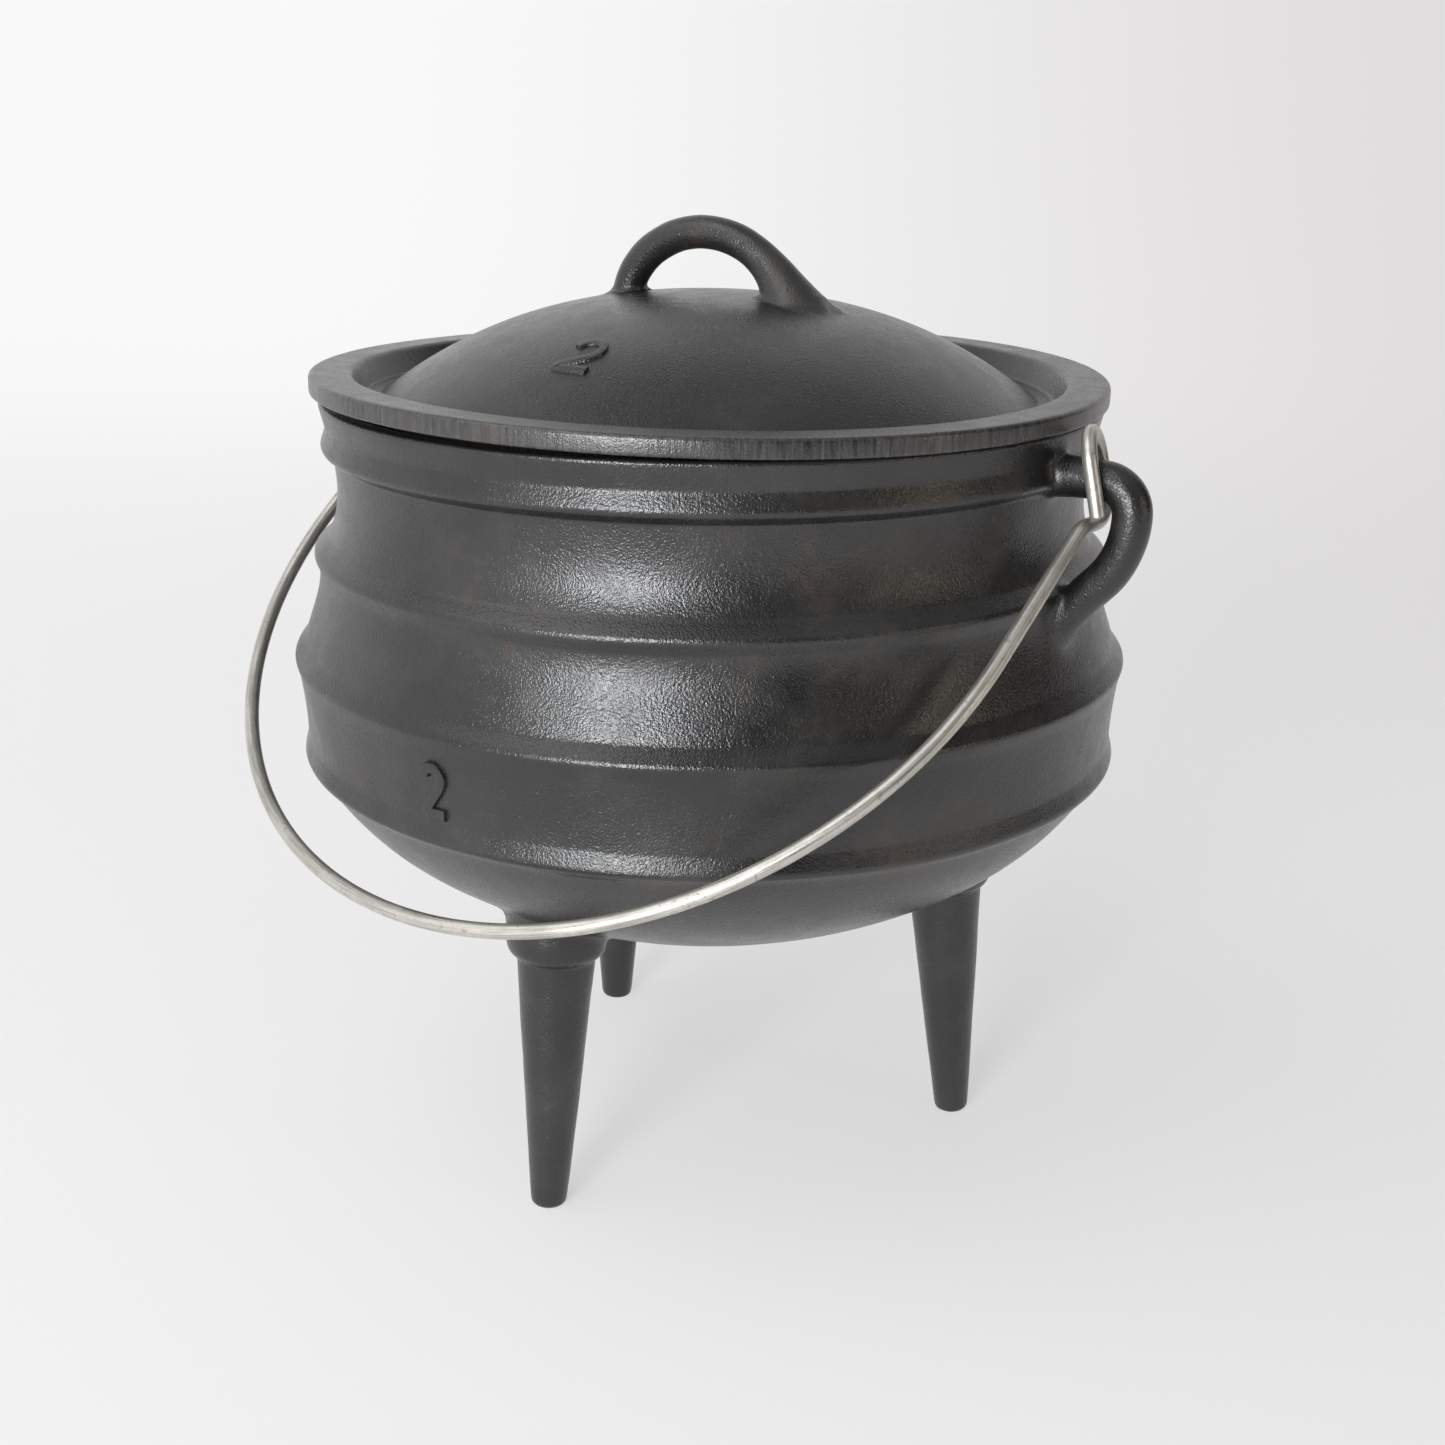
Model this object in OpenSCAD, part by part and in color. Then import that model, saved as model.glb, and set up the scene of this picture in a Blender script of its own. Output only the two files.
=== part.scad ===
// Three-legged cast iron pot with a domed lid and a wire bail, standing on the ground plane.
// The pot's axis is Z, the ears lie along X and one leg stands at the front, along -Y.

/* [Pot bowl] */
// Gap between the ground and the lowest point of the bowl
ground_clearance = 75; // [60:1:90]
// Height of the lowest bead above the bottom of the bowl
bowl_depth = 62.1; // [59:0.1:65]
// How much flatter the bottom of the bowl is than a plain curve up to the crease, as a share
bowl_flatten = 0.0836; // [0.06:0.002:0.11]
// Radius of the knuckle that leads up to the lowest bead
knuckle_r = 83; // [78:0.5:88]
// Distance of the crease under the lowest bead outside the brim
crease_out = 6.3; // [5.8:0.1:7]
// Thickness of the cast wall
wall = 4.6; // [3.6:0.1:5.6]

/* [Pot wall] */
// Outer radius of the brim, which the rest of the pot follows
brim_r = 120.7; // [110:0.1:132]
// Width of the brim's flat top
brim_w = 5.4; // [4.5:0.1:6.2]
// Rounding of the brim's two edges
brim_edge_r = 1.2; // [0.6:0.1:1.8]
// Distance of the collar under the brim inside the brim
collar_in = 1.7; // [0.9:0.1:2.3]
// Distance of the neck's top, under the neck bead, inside the brim
neck_top_in = 3.7; // [2.7:0.1:4.7]
// Distance of the neck's foot, above the shoulder bead, inside the brim
neck_base_in = 1; // [0:0.1:2]
// Distance of the shoulder's top, under the shoulder bead, outside the brim
shoulder_top_out = 2.2; // [1.3:0.1:2.9]
// Distance of the shoulder's foot, above the belly bead, outside the brim
shoulder_base_out = 7.9; // [6.9:0.1:8.9]
// Distance of the belly's top, under the belly bead, outside the brim
belly_top_out = 10.2; // [9.2:0.1:10.4]
// Distance of the belly's foot, above the lowest bead, outside the brim
belly_base_out = 8.5; // [7.5:0.1:9]
// How far the upper part of the neck is drawn in
neck_hollow_top = 1.8; // [1:0.1:2.6]
// How far the lower part of the neck is drawn in
neck_hollow_base = 3.4; // [2.4:0.1:4.4]
// How far the upper part of the shoulder is drawn in
shoulder_hollow_top = 2.5; // [1.5:0.1:3.5]
// How far the lower part of the shoulder is drawn in
shoulder_hollow_base = 0.5; // [0:0.1:1.5]
// How far the belly is drawn in between its beads
belly_hollow = 0.55; // [0:0.05:1.2]

/* [Beads] */
// Distance from the lowest bead up to the belly bead
belly_pitch = 30.4; // [28:0.1:33]
// Distance from the belly bead up to the shoulder bead
shoulder_pitch = 32; // [29:0.1:35]
// Distance from the shoulder bead up to the neck bead
neck_pitch = 33.4; // [31:0.1:36]
// Distance from the neck bead up to the brim
brim_pitch = 13.3; // [12:0.1:15]
// Distance of the lowest bead's nose outside the brim
low_bead_out = 9.8; // [9.2:0.1:10.6]
// Distance of the belly bead's nose, the widest place of the pot, outside the brim
belly_bead_out = 11.2; // [10.9:0.1:12.3]
// Distance of the shoulder bead's nose outside the brim
shoulder_bead_out = 3.6; // [3.2:0.1:4.7]
// Distance of the neck bead's nose inside the brim
neck_bead_in = 0.1; // [0:0.1:0.7]
// Radius of a bead's rounded nose
bead_nose_r = 2.5; // [1.8:0.1:3]
// Height of the sloping flank above a bead's nose
bead_flank = 5.1; // [4.4:0.1:6]
// Distance from a bead's nose down to the crease under it
bead_under = 3.7; // [3.3:0.1:4.4]

/* [Legs] */
// Number of legs
leg_count = 3; // [3:1:4]
// Distance of each foot inside the brim
foot_in = 34.8; // [30:0.1:40]
// Inward lean of each leg, in degrees
leg_lean = 4.2; // [2:0.1:6]
// Radius of a leg at the ground
foot_r = 5.7; // [5:0.1:7]
// Radius of a leg just under its collar
leg_top_r = 12.1; // [10:0.1:12.6]
// Rounding of the foot's edge
foot_edge_r = 2.2; // [1.4:0.1:2.8]
// Height of the collar's lower end below the knuckle circle's height
collar_drop = 22.3; // [20:0.1:27]
// Radius of the collar that joins a leg to the bowl
leg_collar_r = 15.8; // [14.5:0.1:18]
// Height of the collar's rounded underside
leg_collar_turn = 8; // [6:0.1:10]

/* [Ears] */
// Thickness of the ear's rod
ear_rod_d = 11.1; // [9.5:0.1:12]
// Distance of the ear's top arm below the brim
ear_drop = 12.1; // [11:0.1:14]
// Distance of the ear's outermost centreline outside the top of the neck
ear_stand = 25.2; // [24.6:0.1:29]
// Radius of the ear's upper corner, along its centreline
ear_corner_r = 9; // [8:0.1:9.4]
// Radius of the ear's lower sweep, along its centreline
ear_sweep_r = 28.6; // [26:0.1:31]
// Angle of the ear's lower sweep, in degrees
ear_sweep_angle = 44; // [40:0.5:48]
// Thickness of the flare where the ear's rod meets the wall
ear_flare_d = 16; // [13:0.1:18]
// Length of the flare outside the wall
ear_flare_len = 6; // [4:0.1:8]

/* [Lid] */
// Distance that the lid reaches out over the brim
lid_overhang = 2; // [1:0.1:3.2]
// Thickness of the flat band round the lid
band_t = 5.6; // [4.6:0.1:7]
// Width of the band's flat top
band_w = 12.4; // [11:0.1:13.5]
// Rounding of the band's edges
band_edge_r = 1.3; // [0.6:0.1:2]
// Depth of the trough below the band's underside
trough_drop = 1.8; // [1:0.1:3]
// Distance that the band's inner wall slopes in on its way down to the trough
trough_slope = 3.8; // [2:0.1:5]
// Width of the trough between the band's inner wall and the foot of the dome
trough_w = 6.9; // [5:0.1:9]
// Height of the dome's foot above the trough
dome_foot_rise = 1.2; // [0.6:0.1:2]
// Radius of the dome's flat crown curve
crown_curve_r = 250; // [220:1:300]
// Distance from the axis at which the crown turns into the dome's side
crown_r = 30; // [25:0.5:35]
// Radius of the dome's side curve
dome_curve_r = 145; // [142:0.5:160]
// Thickness of the lid's casting
lid_wall = 4.6; // [3.6:0.1:5]
// Gap between the lid's lower step and the inside of the brim
lid_play = 1.6; // [1:0.1:3]
// Gap between the lid and the brim where they come closest
seat_gap = 0.1; // [0.05:0.05:0.3]
// Tilt of the lid, which sits a little high on one side, in degrees
lid_tilt = 0.55; // [0:0.05:0.7]
// Side towards which the lid sits high and off centre, in degrees about the pot's axis
lid_high_side = 200; // [180:1:270]
// Distance that the lid sits off centre
lid_shift = 0.6; // [0:0.1:1]

/* [Lid handle] */
// Turn of the handle about the lid's axis, in degrees
handle_turn = 4.7; // [0:0.1:10]
// Height of the handle's top above the dome's top
handle_height = 22.7; // [18:0.1:26]
// Distance of the slim root from the lid's axis
slim_root_x = 31.9; // [29:0.1:35]
// Distance of the thick root from the lid's axis
thick_root_x = 27.5; // [25.5:0.1:30]
// Thickness of the handle at its slim root and over its top
handle_d = 10; // [8:0.1:11]
// Thickness of the handle at its thick root
thick_root_d = 24; // [20:0.1:27]
// Distance of the handle's highest point from the lid's axis, towards the slim root
handle_peak_x = 4; // [0:0.1:8]
// Outer width of the cast ring round the slim root
root_ring_d = 13; // [12:0.1:14.5]
// Thickness of the cast ring round the slim root
root_ring_t = 2.6; // [2:0.1:3.4]

/* [Bail] */
// Thickness of the bail's wire
wire_d = 4.35; // [3.6:0.05:4.6]
// How much smaller the bow's radius is than the distance of each eye from the pot's axis
bow_in = 1.3; // [0.3:0.1:3.3]
// Distance that the bow hangs off to one side
bow_shift = 1.8; // [0:0.1:2.4]
// How much longer the bail hangs down from its hinge line than the brim's radius
bow_slack = 62.5; // [54:0.1:74]
// Distance of the bow's plane behind the hinge line
bow_offset = 4.4; // [3:0.1:5]
// Angle of the bail from hanging straight down, as it rests
bail_lean = 52.5; // [50:0.5:55]
// Free play between the ear's rod and each side of the eye
eye_play = 0.5; // [0.35:0.05:0.8]
// Free gap between the ear's rod and the top of the eye
eye_rise = 5.2; // [4.5:0.1:6]
// Free gap between the ear's rod and the bottom of the eye
eye_fall = 4.4; // [4:0.1:5]
// Distance of the eye's cut end below the hinge line
eye_end_drop = 8.8; // [7:0.1:9]
// Outward tilt of the eye, in degrees
eye_tilt = 13; // [10:0.5:13]
// Gap between the eye's cut end and the wire beside it
eye_side_gap = 0.25; // [0.2:0.05:0.35]
// Distance of the eye's lower bend in from the ear's outermost centreline
eye_inset = 10.9; // [10.6:0.1:12]
// Radius of the bend between the eye and the bail's side
elbow_r = 8; // [6:0.1:10]

/* [Hidden] */
$fn = 96;
iron = "#2e2d2b";
lid_iron = "#3a3937";
steel = "#b9b4a9";
bead_steps = 6;
arc_steps = 10;
edge_steps = 4;
wire_sides = 48;
ring_sides = 24;
overlap = 1;
shortest_rod = 0.01;
joint_gap = 0.05;
joint_bump = 0.03;
joint_turn = 40;
straight_down = -90;
foot_cut = 0.35;
collar_ease = 0.6;
elbow_sidestep = 0.6;
handle_steps = 14;
swell_power = 4;
root_sink = 4.2;
slim_root_pull = [0, 11];
peak_pull_in = [15, 0];
peak_pull_out = [15, 0];
thick_root_pull = [-6, 13];

low_bead_z = ground_clearance + bowl_depth;
belly_bead_z = low_bead_z + belly_pitch;
shoulder_bead_z = belly_bead_z + shoulder_pitch;
neck_bead_z = shoulder_bead_z + neck_pitch;
brim_z = neck_bead_z + brim_pitch;
hinge_z = brim_z - ear_drop;

brim_inner_r = brim_r - brim_w;
collar_r = brim_r - collar_in;
neck_bead_r = brim_r - neck_bead_in;
neck_top_r = brim_r - neck_top_in;
neck_base_r = brim_r - neck_base_in;
shoulder_bead_r = brim_r + shoulder_bead_out;
shoulder_top_r = brim_r + shoulder_top_out;
shoulder_base_r = brim_r + shoulder_base_out;
belly_bead_r = brim_r + belly_bead_out;
belly_top_r = brim_r + belly_top_out;
belly_base_r = brim_r + belly_base_out;
low_bead_r = brim_r + low_bead_out;
foot_circle_r = brim_r - foot_in;
ear_reach = neck_top_r + ear_stand;
lid_r = brim_r + lid_overhang;
bow_drop = brim_r + bow_slack;

function unit(v) = v / norm(v);
function polar(c, r, a) = c + r * [cos(a), sin(a)];
function arc(c, r, a0, a1, n) = [for (i = [0:n]) polar(c, r, a0 + (a1 - a0) * i / n)];
function mix(a, b, t) = a + (b - a) * t;

function bezier(a, b, c, d, n) = [
    for (i = [0:n])
        let (t = i / n, s = 1 - t)
        s * s * s * a + 3 * s * s * t * b + 3 * s * t * t * c + t * t * t * d
];

// Angle at which a line from point p touches a circle, on one side or the other
function touch(p, c, r, side) = atan2(p[1] - c[1], p[0] - c[0]) + side * acos(r / norm(p - c));

// Length cut off each side of corner b when it is rounded with radius r
function corner_cut(a, b, c, r) = r / tan(acos(unit(a - b) * unit(c - b)) / 2);

// Rounded corner b of an outline that comes from a and goes on to c
function round_corner(a, b, c, r, n) =
    let (u = unit(a - b), v = unit(c - b))
    let (half = acos(u * v) / 2)
    let (o = b + unit(u + v) * r / sin(half))
    let (s = b + u * corner_cut(a, b, c, r) - o, e = b + v * corner_cut(a, b, c, r) - o)
    let (a0 = atan2(s[1], s[0]), turn = atan2(s[0] * e[1] - s[1] * e[0], s * e))
    arc(o, r, a0, a0 + turn, n);

// Outline moved sideways by d, to the left of its direction when d is negative
function inset(pts, d) = [
    for (i = [0:len(pts) - 1])
        let (t = unit(pts[min(i + 1, len(pts) - 1)] - pts[max(i - 1, 0)]))
        pts[i] + d * [t[1], -t[0]]
];

// One bead: sloping flank, rounded nose and the crease under it
function bead(z, nose_r, above_r, below_r) =
    let (c = [nose_r - bead_nose_r, z])
    let (top = [above_r, z + bead_flank], foot = [below_r, z - bead_under])
    let (a0 = touch(top, c, bead_nose_r, -1), a1 = touch(foot, c, bead_nose_r, 1))
    concat([top], arc(c, bead_nose_r, a0, a1, bead_steps), [foot]);

// Wall between two beads, drawn in at its upper and lower thirds
function stave(top, base, hollow_top, hollow_base) =
    bezier(top, mix(top, base, 1 / 3) - [hollow_top, 0], mix(top, base, 2 / 3) - [hollow_base, 0],
        base, arc_steps);

function inner_points(pts) = [for (i = [1:len(pts) - 2]) pts[i]];

// Crease under the lowest bead, and the two curves of the bowl that lead down from it.
// The knuckle's circle passes through the crease and touches the bowl's circle from inside.
crease = [brim_r + crease_out, low_bead_z - bead_under];
crease_rise = crease[1] - ground_clearance;
bowl_r = (1 + bowl_flatten) * (crease[0] * crease[0] + crease_rise * crease_rise) / (2 * crease_rise);
bowl_centre = [0, ground_clearance + bowl_r];
to_crease = crease - bowl_centre;
along = unit(to_crease);
centre_gap = bowl_r - knuckle_r;
centre_along = (to_crease * to_crease + centre_gap * centre_gap - knuckle_r * knuckle_r)
    / (2 * norm(to_crease));
centre_across = sqrt(centre_gap * centre_gap - centre_along * centre_along);
knuckle_centre = bowl_centre + along * centre_along + [along[1], -along[0]] * centre_across;
bowl_turn = atan2(knuckle_centre[0], bowl_centre[1] - knuckle_centre[1]);
knuckle_top_angle = asin((crease[1] - knuckle_centre[1]) / knuckle_r);
knuckle_foot_angle = straight_down + bowl_turn;
knuckle_foot_z = polar(bowl_centre, bowl_r, knuckle_foot_angle)[1];

neck_stave = stave([neck_top_r, neck_bead_z - bead_under], [neck_base_r, shoulder_bead_z + bead_flank],
    neck_hollow_top, neck_hollow_base);
shoulder_stave = stave([shoulder_top_r, shoulder_bead_z - bead_under],
    [shoulder_base_r, belly_bead_z + bead_flank], shoulder_hollow_top, shoulder_hollow_base);
belly_stave = stave([belly_top_r, belly_bead_z - bead_under], [belly_base_r, low_bead_z + bead_flank],
    belly_hollow, belly_hollow);
knuckle = arc(knuckle_centre, knuckle_r, knuckle_top_angle, knuckle_foot_angle, arc_steps);
bowl = arc(bowl_centre, bowl_r, knuckle_foot_angle, straight_down, arc_steps);

brim_corner = round_corner([0, brim_z], [brim_r, brim_z], [collar_r, neck_bead_z + bead_flank],
    brim_edge_r, edge_steps);

pot_outline = concat(
    [[0, brim_z]],
    brim_corner,
    bead(neck_bead_z, neck_bead_r, collar_r, neck_top_r),
    inner_points(neck_stave),
    bead(shoulder_bead_z, shoulder_bead_r, neck_base_r, shoulder_top_r),
    inner_points(shoulder_stave),
    bead(belly_bead_z, belly_bead_r, shoulder_base_r, belly_top_r),
    inner_points(belly_stave),
    bead(low_bead_z, low_bead_r, belly_base_r, crease[0]),
    inner_points(knuckle),
    bowl
);

// The wall without its beads, which the smooth inside of the pot follows
plain_wall = concat(
    [[collar_r, neck_bead_z]],
    [for (i = [2:2:arc_steps - 2]) neck_stave[i]],
    [for (i = [2:2:arc_steps - 2]) shoulder_stave[i]],
    [for (i = [2:2:arc_steps - 2]) belly_stave[i]],
    [for (i = [2:2:arc_steps]) knuckle[i]],
    [for (i = [2:2:arc_steps]) bowl[i]]
);

cavity_outline = concat(
    [[0, brim_z + overlap], [brim_inner_r + brim_edge_r, brim_z + overlap]],
    arc([brim_inner_r + brim_edge_r, brim_z - brim_edge_r], brim_edge_r, 90, 180, edge_steps),
    inner_points(inset(plain_wall, wall)),
    [[0, ground_clearance + wall]]
);

// Straight round rod between two points
module rod(a, b, d) {
    run = b - a;
    translate(a)
        rotate([0, acos(run[2] / norm(run)), atan2(run[1], run[0])])
            cylinder(h = norm(run), d = d, $fn = wire_sides);
}

// Round bend at corner b of a rod that comes from a and goes on to c, with each end cut short
module bend(a, b, c, r, d) {
    u = unit(a - b);
    v = unit(c - b);
    o = b + unit(u + v) * r / sin(acos(u * v) / 2);
    ex = unit(b + u * corner_cut(a, b, c, r) - o);
    ez = unit(cross(ex, b + v * corner_cut(a, b, c, r) - o));
    ey = cross(ez, ex);
    skip = joint_gap / r * 180 / PI;
    multmatrix([
        [ex[0], ey[0], ez[0], o[0]],
        [ex[1], ey[1], ez[1], o[1]],
        [ex[2], ey[2], ez[2], o[2]],
        [0, 0, 0, 1]
    ])
        rotate([0, 0, skip])
            rotate_extrude(angle = 180 - acos(u * v) - 2 * skip, $fn = 4 * wire_sides)
                translate([r, 0])
                    circle(d = d, $fn = wire_sides);
}

// Rod bent at each corner between its first and last point.
// Its straights and bends stop just short of each other, and a barely larger ball joins them.
module bent_rod(pts, radii, d) {
    last = len(pts) - 1;
    cuts = [
        for (i = [0:last])
            i == 0 || i == last ? 0 : corner_cut(pts[i - 1], pts[i], pts[i + 1], radii[i - 1])
    ];
    for (i = [0:last - 1]) {
        way = unit(pts[i + 1] - pts[i]);
        start = pts[i] + way * cuts[i];
        stop = pts[i + 1] - way * cuts[i + 1];
        straight = norm(pts[i + 1] - pts[i]) - cuts[i] - cuts[i + 1] > shortest_rod;
        if (straight)
            rod(start + way * joint_gap, i < last - 1 ? stop - way * joint_gap : stop, d);
        if (straight && i < last - 1)
            joint_ball(stop, way, d);
        if (i > 0)
            joint_ball(start, way, d);
    }
    for (i = [1:last - 1])
        bend(pts[i - 1], pts[i], pts[i + 1], radii[i - 1], d);
}

// Ball with its poles along the rod that it joins
module joint_ball(at, way, d) {
    translate(at)
        rotate([0, acos(way[2]), atan2(way[1], way[0])])
            rotate([0, 0, joint_turn])
                sphere(d = d + 2 * joint_bump, $fn = wire_sides);
}

// Leg outline: rounded foot, long taper and the rounded underside of the collar
leg_foot_z = -(foot_r - foot_edge_r) * sin(leg_lean) - foot_cut;
leg_collar_z = knuckle_foot_z - collar_drop;
leg_outline = concat(
    [[0, leg_foot_z]],
    round_corner([0, leg_foot_z], [foot_r, leg_foot_z], [leg_top_r, leg_collar_z], foot_edge_r, edge_steps),
    bezier([leg_top_r, leg_collar_z], [leg_collar_r, leg_collar_z + leg_collar_turn / 4],
        [leg_collar_r - collar_ease, leg_collar_z + leg_collar_turn / 2],
        [leg_collar_r, leg_collar_z + leg_collar_turn], edge_steps * 2),
    [[leg_collar_r, knuckle_foot_z + wall], [0, knuckle_foot_z + wall]]
);

module leg() {
    difference() {
        translate([foot_circle_r, 0, 0])
            rotate([0, -leg_lean, 0])
                rotate_extrude()
                    polygon(leg_outline);
        translate([0, -foot_circle_r, -2 * overlap - foot_r])
            cube([2 * foot_circle_r, 2 * foot_circle_r, 2 * overlap + foot_r]);
    }
}

// Ear centreline: out along the top arm, round the corner, down the sweep and back into the wall
ear_low_z = hinge_z - ear_corner_r - ear_sweep_r * tan(ear_sweep_angle / 2);
ear_way_in = [-sin(ear_sweep_angle), 0, -cos(ear_sweep_angle)];
ear_root_x = shoulder_top_r - wall;
ear_path = [
    [neck_top_r - wall, 0, hinge_z],
    [ear_reach, 0, hinge_z],
    [ear_reach, 0, ear_low_z],
    [ear_reach, 0, ear_low_z] + ear_way_in * (ear_reach - ear_root_x) / sin(ear_sweep_angle)
];

// Cone that widens from the ear's rod to its root in the wall
module ear_flare(root, way, length) {
    translate(root)
        rotate([0, atan2(way[0], way[2]), 0])
            cylinder(h = length, d1 = ear_flare_d, d2 = ear_rod_d - 2 * joint_gap, $fn = wire_sides);
}

module ear() {
    bent_rod(ear_path, [ear_corner_r, ear_sweep_r], ear_rod_d);
    ear_flare(ear_path[0], [1, 0, 0], neck_bead_r + ear_flare_len - ear_path[0][0]);
    ear_flare(ear_path[3], -ear_way_in, wall + 2 * ear_flare_len);
}

module pot() {
    color(iron)
        difference() {
            union() {
                rotate_extrude()
                    polygon(pot_outline);
                for (i = [0:leg_count - 1])
                    rotate([0, 0, i * 360 / leg_count - 90])
                        leg();
                ear();
                mirror([1, 0, 0])
                    ear();
            }
            rotate_extrude()
                polygon(cavity_outline);
        }
}

// Lid outline, with z = 0 at the underside of the band
band_inner_r = lid_r - band_w;
trough_r = band_inner_r - trough_slope;
dome_foot_r = trough_r - trough_w;
step_r = brim_inner_r - lid_play;
crown_angle = asin(crown_r / crown_curve_r);
crown_fall = crown_curve_r * (1 - cos(crown_angle));
dome_angle = asin(sin(crown_angle) + (dome_foot_r - crown_r) / dome_curve_r);
dome_fall = dome_curve_r * (cos(crown_angle) - cos(dome_angle));
dome_foot_z = dome_foot_rise - trough_drop;
dome_top_z = dome_foot_z + dome_fall + crown_fall;
crown_centre = [0, dome_top_z - crown_curve_r];
dome_centre = polar(crown_centre, crown_curve_r - dome_curve_r, 90 - crown_angle);

// Outside of the dome, or its inside where depth is the casting's thickness, from foot to top
function dome_curve(depth) = concat(
    arc(dome_centre, dome_curve_r - depth, 90 - dome_angle, 90 - crown_angle, arc_steps),
    [for (i = [edge_steps - 1:-1:0])
        polar(crown_centre, crown_curve_r - depth, 90 - crown_angle * i / edge_steps)]
);

function reversed(pts) = [for (i = [len(pts) - 1:-1:0]) pts[i]];

trough_z = -trough_drop;
under_z = trough_z - lid_wall;
band_top_outer = [lid_r, band_t];
band_top_inner = [band_inner_r, band_t];
trough_outer = [trough_r, trough_z];
trough_inner = [dome_foot_r + trough_drop, trough_z];
under_foot = dome_curve(lid_wall)[0];

lid_outline = concat(
    [[step_r, 0]],
    round_corner([step_r, 0], [lid_r, 0], band_top_outer, band_edge_r / 2, edge_steps),
    round_corner([lid_r, 0], band_top_outer, band_top_inner, band_edge_r, edge_steps),
    round_corner(band_top_outer, band_top_inner, trough_outer, band_edge_r, edge_steps),
    round_corner(band_top_inner, trough_outer, trough_inner, band_edge_r, edge_steps),
    [trough_inner],
    dome_curve(0),
    reversed(dome_curve(lid_wall)),
    [[under_foot[0] + trough_drop, under_z]],
    round_corner([under_foot[0], under_z], [step_r - trough_slope / 2, under_z], [step_r, 0],
        band_edge_r, edge_steps)
);

// Handle centreline and thickness from the slim root over the top to the thick root
handle_top_z = dome_top_z + handle_height - handle_d / 2;
slim_root = [-slim_root_x, dome_top_z - root_sink];
thick_root = [thick_root_x, dome_top_z - root_sink];
handle_peak = [-handle_peak_x, handle_top_z];
slim_half = bezier(slim_root, slim_root + slim_root_pull, handle_peak - peak_pull_in, handle_peak,
    handle_steps);
thick_half = bezier(handle_peak, handle_peak + peak_pull_out, thick_root + thick_root_pull, thick_root,
    handle_steps);
handle_line = concat(slim_half, [for (i = [1:handle_steps]) thick_half[i]]);
function swell(t) = t < 0.5 ? 0 : pow(2 * t - 1, swell_power);

module handle_loop() {
    last = len(handle_line) - 1;
    rings = [
        for (i = [0:last])
            let (p = handle_line[i])
            let (way = unit(handle_line[min(i + 1, last)] - handle_line[max(i - 1, 0)]))
            let (r = mix(handle_d, thick_root_d, swell(i / last)) / 2)
            for (k = [0:ring_sides - 1])
                let (a = 360 * k / ring_sides)
                [p[0] - way[1] * r * cos(a), r * sin(a), p[1] + way[0] * r * cos(a)]
    ];
    sides = [
        for (i = [0:last - 1], k = [0:ring_sides - 1])
            let (n = (k + 1) % ring_sides)
            [i * ring_sides + k, i * ring_sides + n, (i + 1) * ring_sides + n, (i + 1) * ring_sides + k]
    ];
    first_end = [for (k = [ring_sides - 1:-1:0]) k];
    last_end = [for (k = [0:ring_sides - 1]) last * ring_sides + k];
    polyhedron(points = rings, faces = concat(sides, [first_end, last_end]), convexity = 4);
}

// Ring of cast iron round the slim root, half sunk in the dome
module root_ring() {
    slope = asin(slim_root_x / crown_curve_r);
    translate([-slim_root_x, 0, dome_top_z - crown_curve_r * (1 - cos(slope))])
        rotate([0, -slope, 0])
            rotate_extrude($fn = wire_sides)
                translate([(root_ring_d - root_ring_t) / 2, 0])
                    circle(d = root_ring_t, $fn = ring_sides);
}

module lid() {
    lid_rise = brim_z + seat_gap + (brim_r - brim_edge_r) * sin(lid_tilt);
    color(lid_iron)
        rotate([0, 0, lid_high_side])
            translate([lid_shift, 0, lid_rise])
                rotate([0, -lid_tilt, 0])
                    rotate([0, 0, handle_turn - lid_high_side]) {
                        rotate_extrude()
                            polygon(lid_outline);
                        handle_loop();
                        root_ring();
                    }
}

// Eye and bow of the bail, as distances from the hinge line in the pose in which it rests
eye_half = (ear_rod_d + wire_d) / 2 + eye_play;
eye_top = (ear_rod_d + wire_d) / 2 + eye_rise;
eye_bottom = (ear_rod_d + wire_d) / 2 + eye_fall;
eye_slant = tan(eye_tilt);
eye_x = ear_reach - eye_inset;
side_step = wire_d + eye_side_gap;

// Point of the bow's plane: sideways by x, and down along the bail by v
function on_bow(x, v) = [
    x,
    -v * sin(bail_lean) + bow_offset * cos(bail_lean),
    -v * cos(bail_lean) - bow_offset * sin(bail_lean)
];

elbow_v = (eye_bottom - bow_offset * sin(bail_lean)) / cos(bail_lean);
bow_r = eye_x - bow_in;
bow_centre_v = bow_drop - bow_r;

// Distance from the pot's axis of the corner that a side of the bail makes with the foot of the bow,
// where the bow's centre lies off that axis, towards that side
function bow_corner_x(off) =
    let (end_angle = touch([eye_x - off, bow_centre_v - elbow_v], [0, 0], bow_r, -1))
    off + bow_r * tan((end_angle - straight_down) / 2);

elbow = on_bow(eye_x, elbow_v);
eye_low = [eye_x + elbow_sidestep, eye_half, -eye_bottom];
eye_back = [eye_low[0] - eye_slant * (eye_top + eye_bottom), eye_half, eye_top];
eye_front = [eye_back[0] + side_step, -eye_half, eye_top];
eye_end = [eye_front[0] + eye_slant * (eye_top + eye_end_drop), -eye_half, -eye_end_drop];
crown_bend_r = norm(eye_front - eye_back)
    / (corner_cut(eye_low, eye_back, eye_front, 1) + corner_cut(eye_back, eye_front, eye_end, 1));

// One side of the bail, from the foot of the bow up to the cut end of its eye
function half_bail(off) = [
    on_bow(off, bow_drop),
    on_bow(bow_corner_x(off), bow_drop),
    elbow,
    eye_low,
    eye_back,
    eye_front,
    eye_end
];
half_bail_radii = [bow_r, elbow_r, eye_half, crown_bend_r, crown_bend_r];

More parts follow.
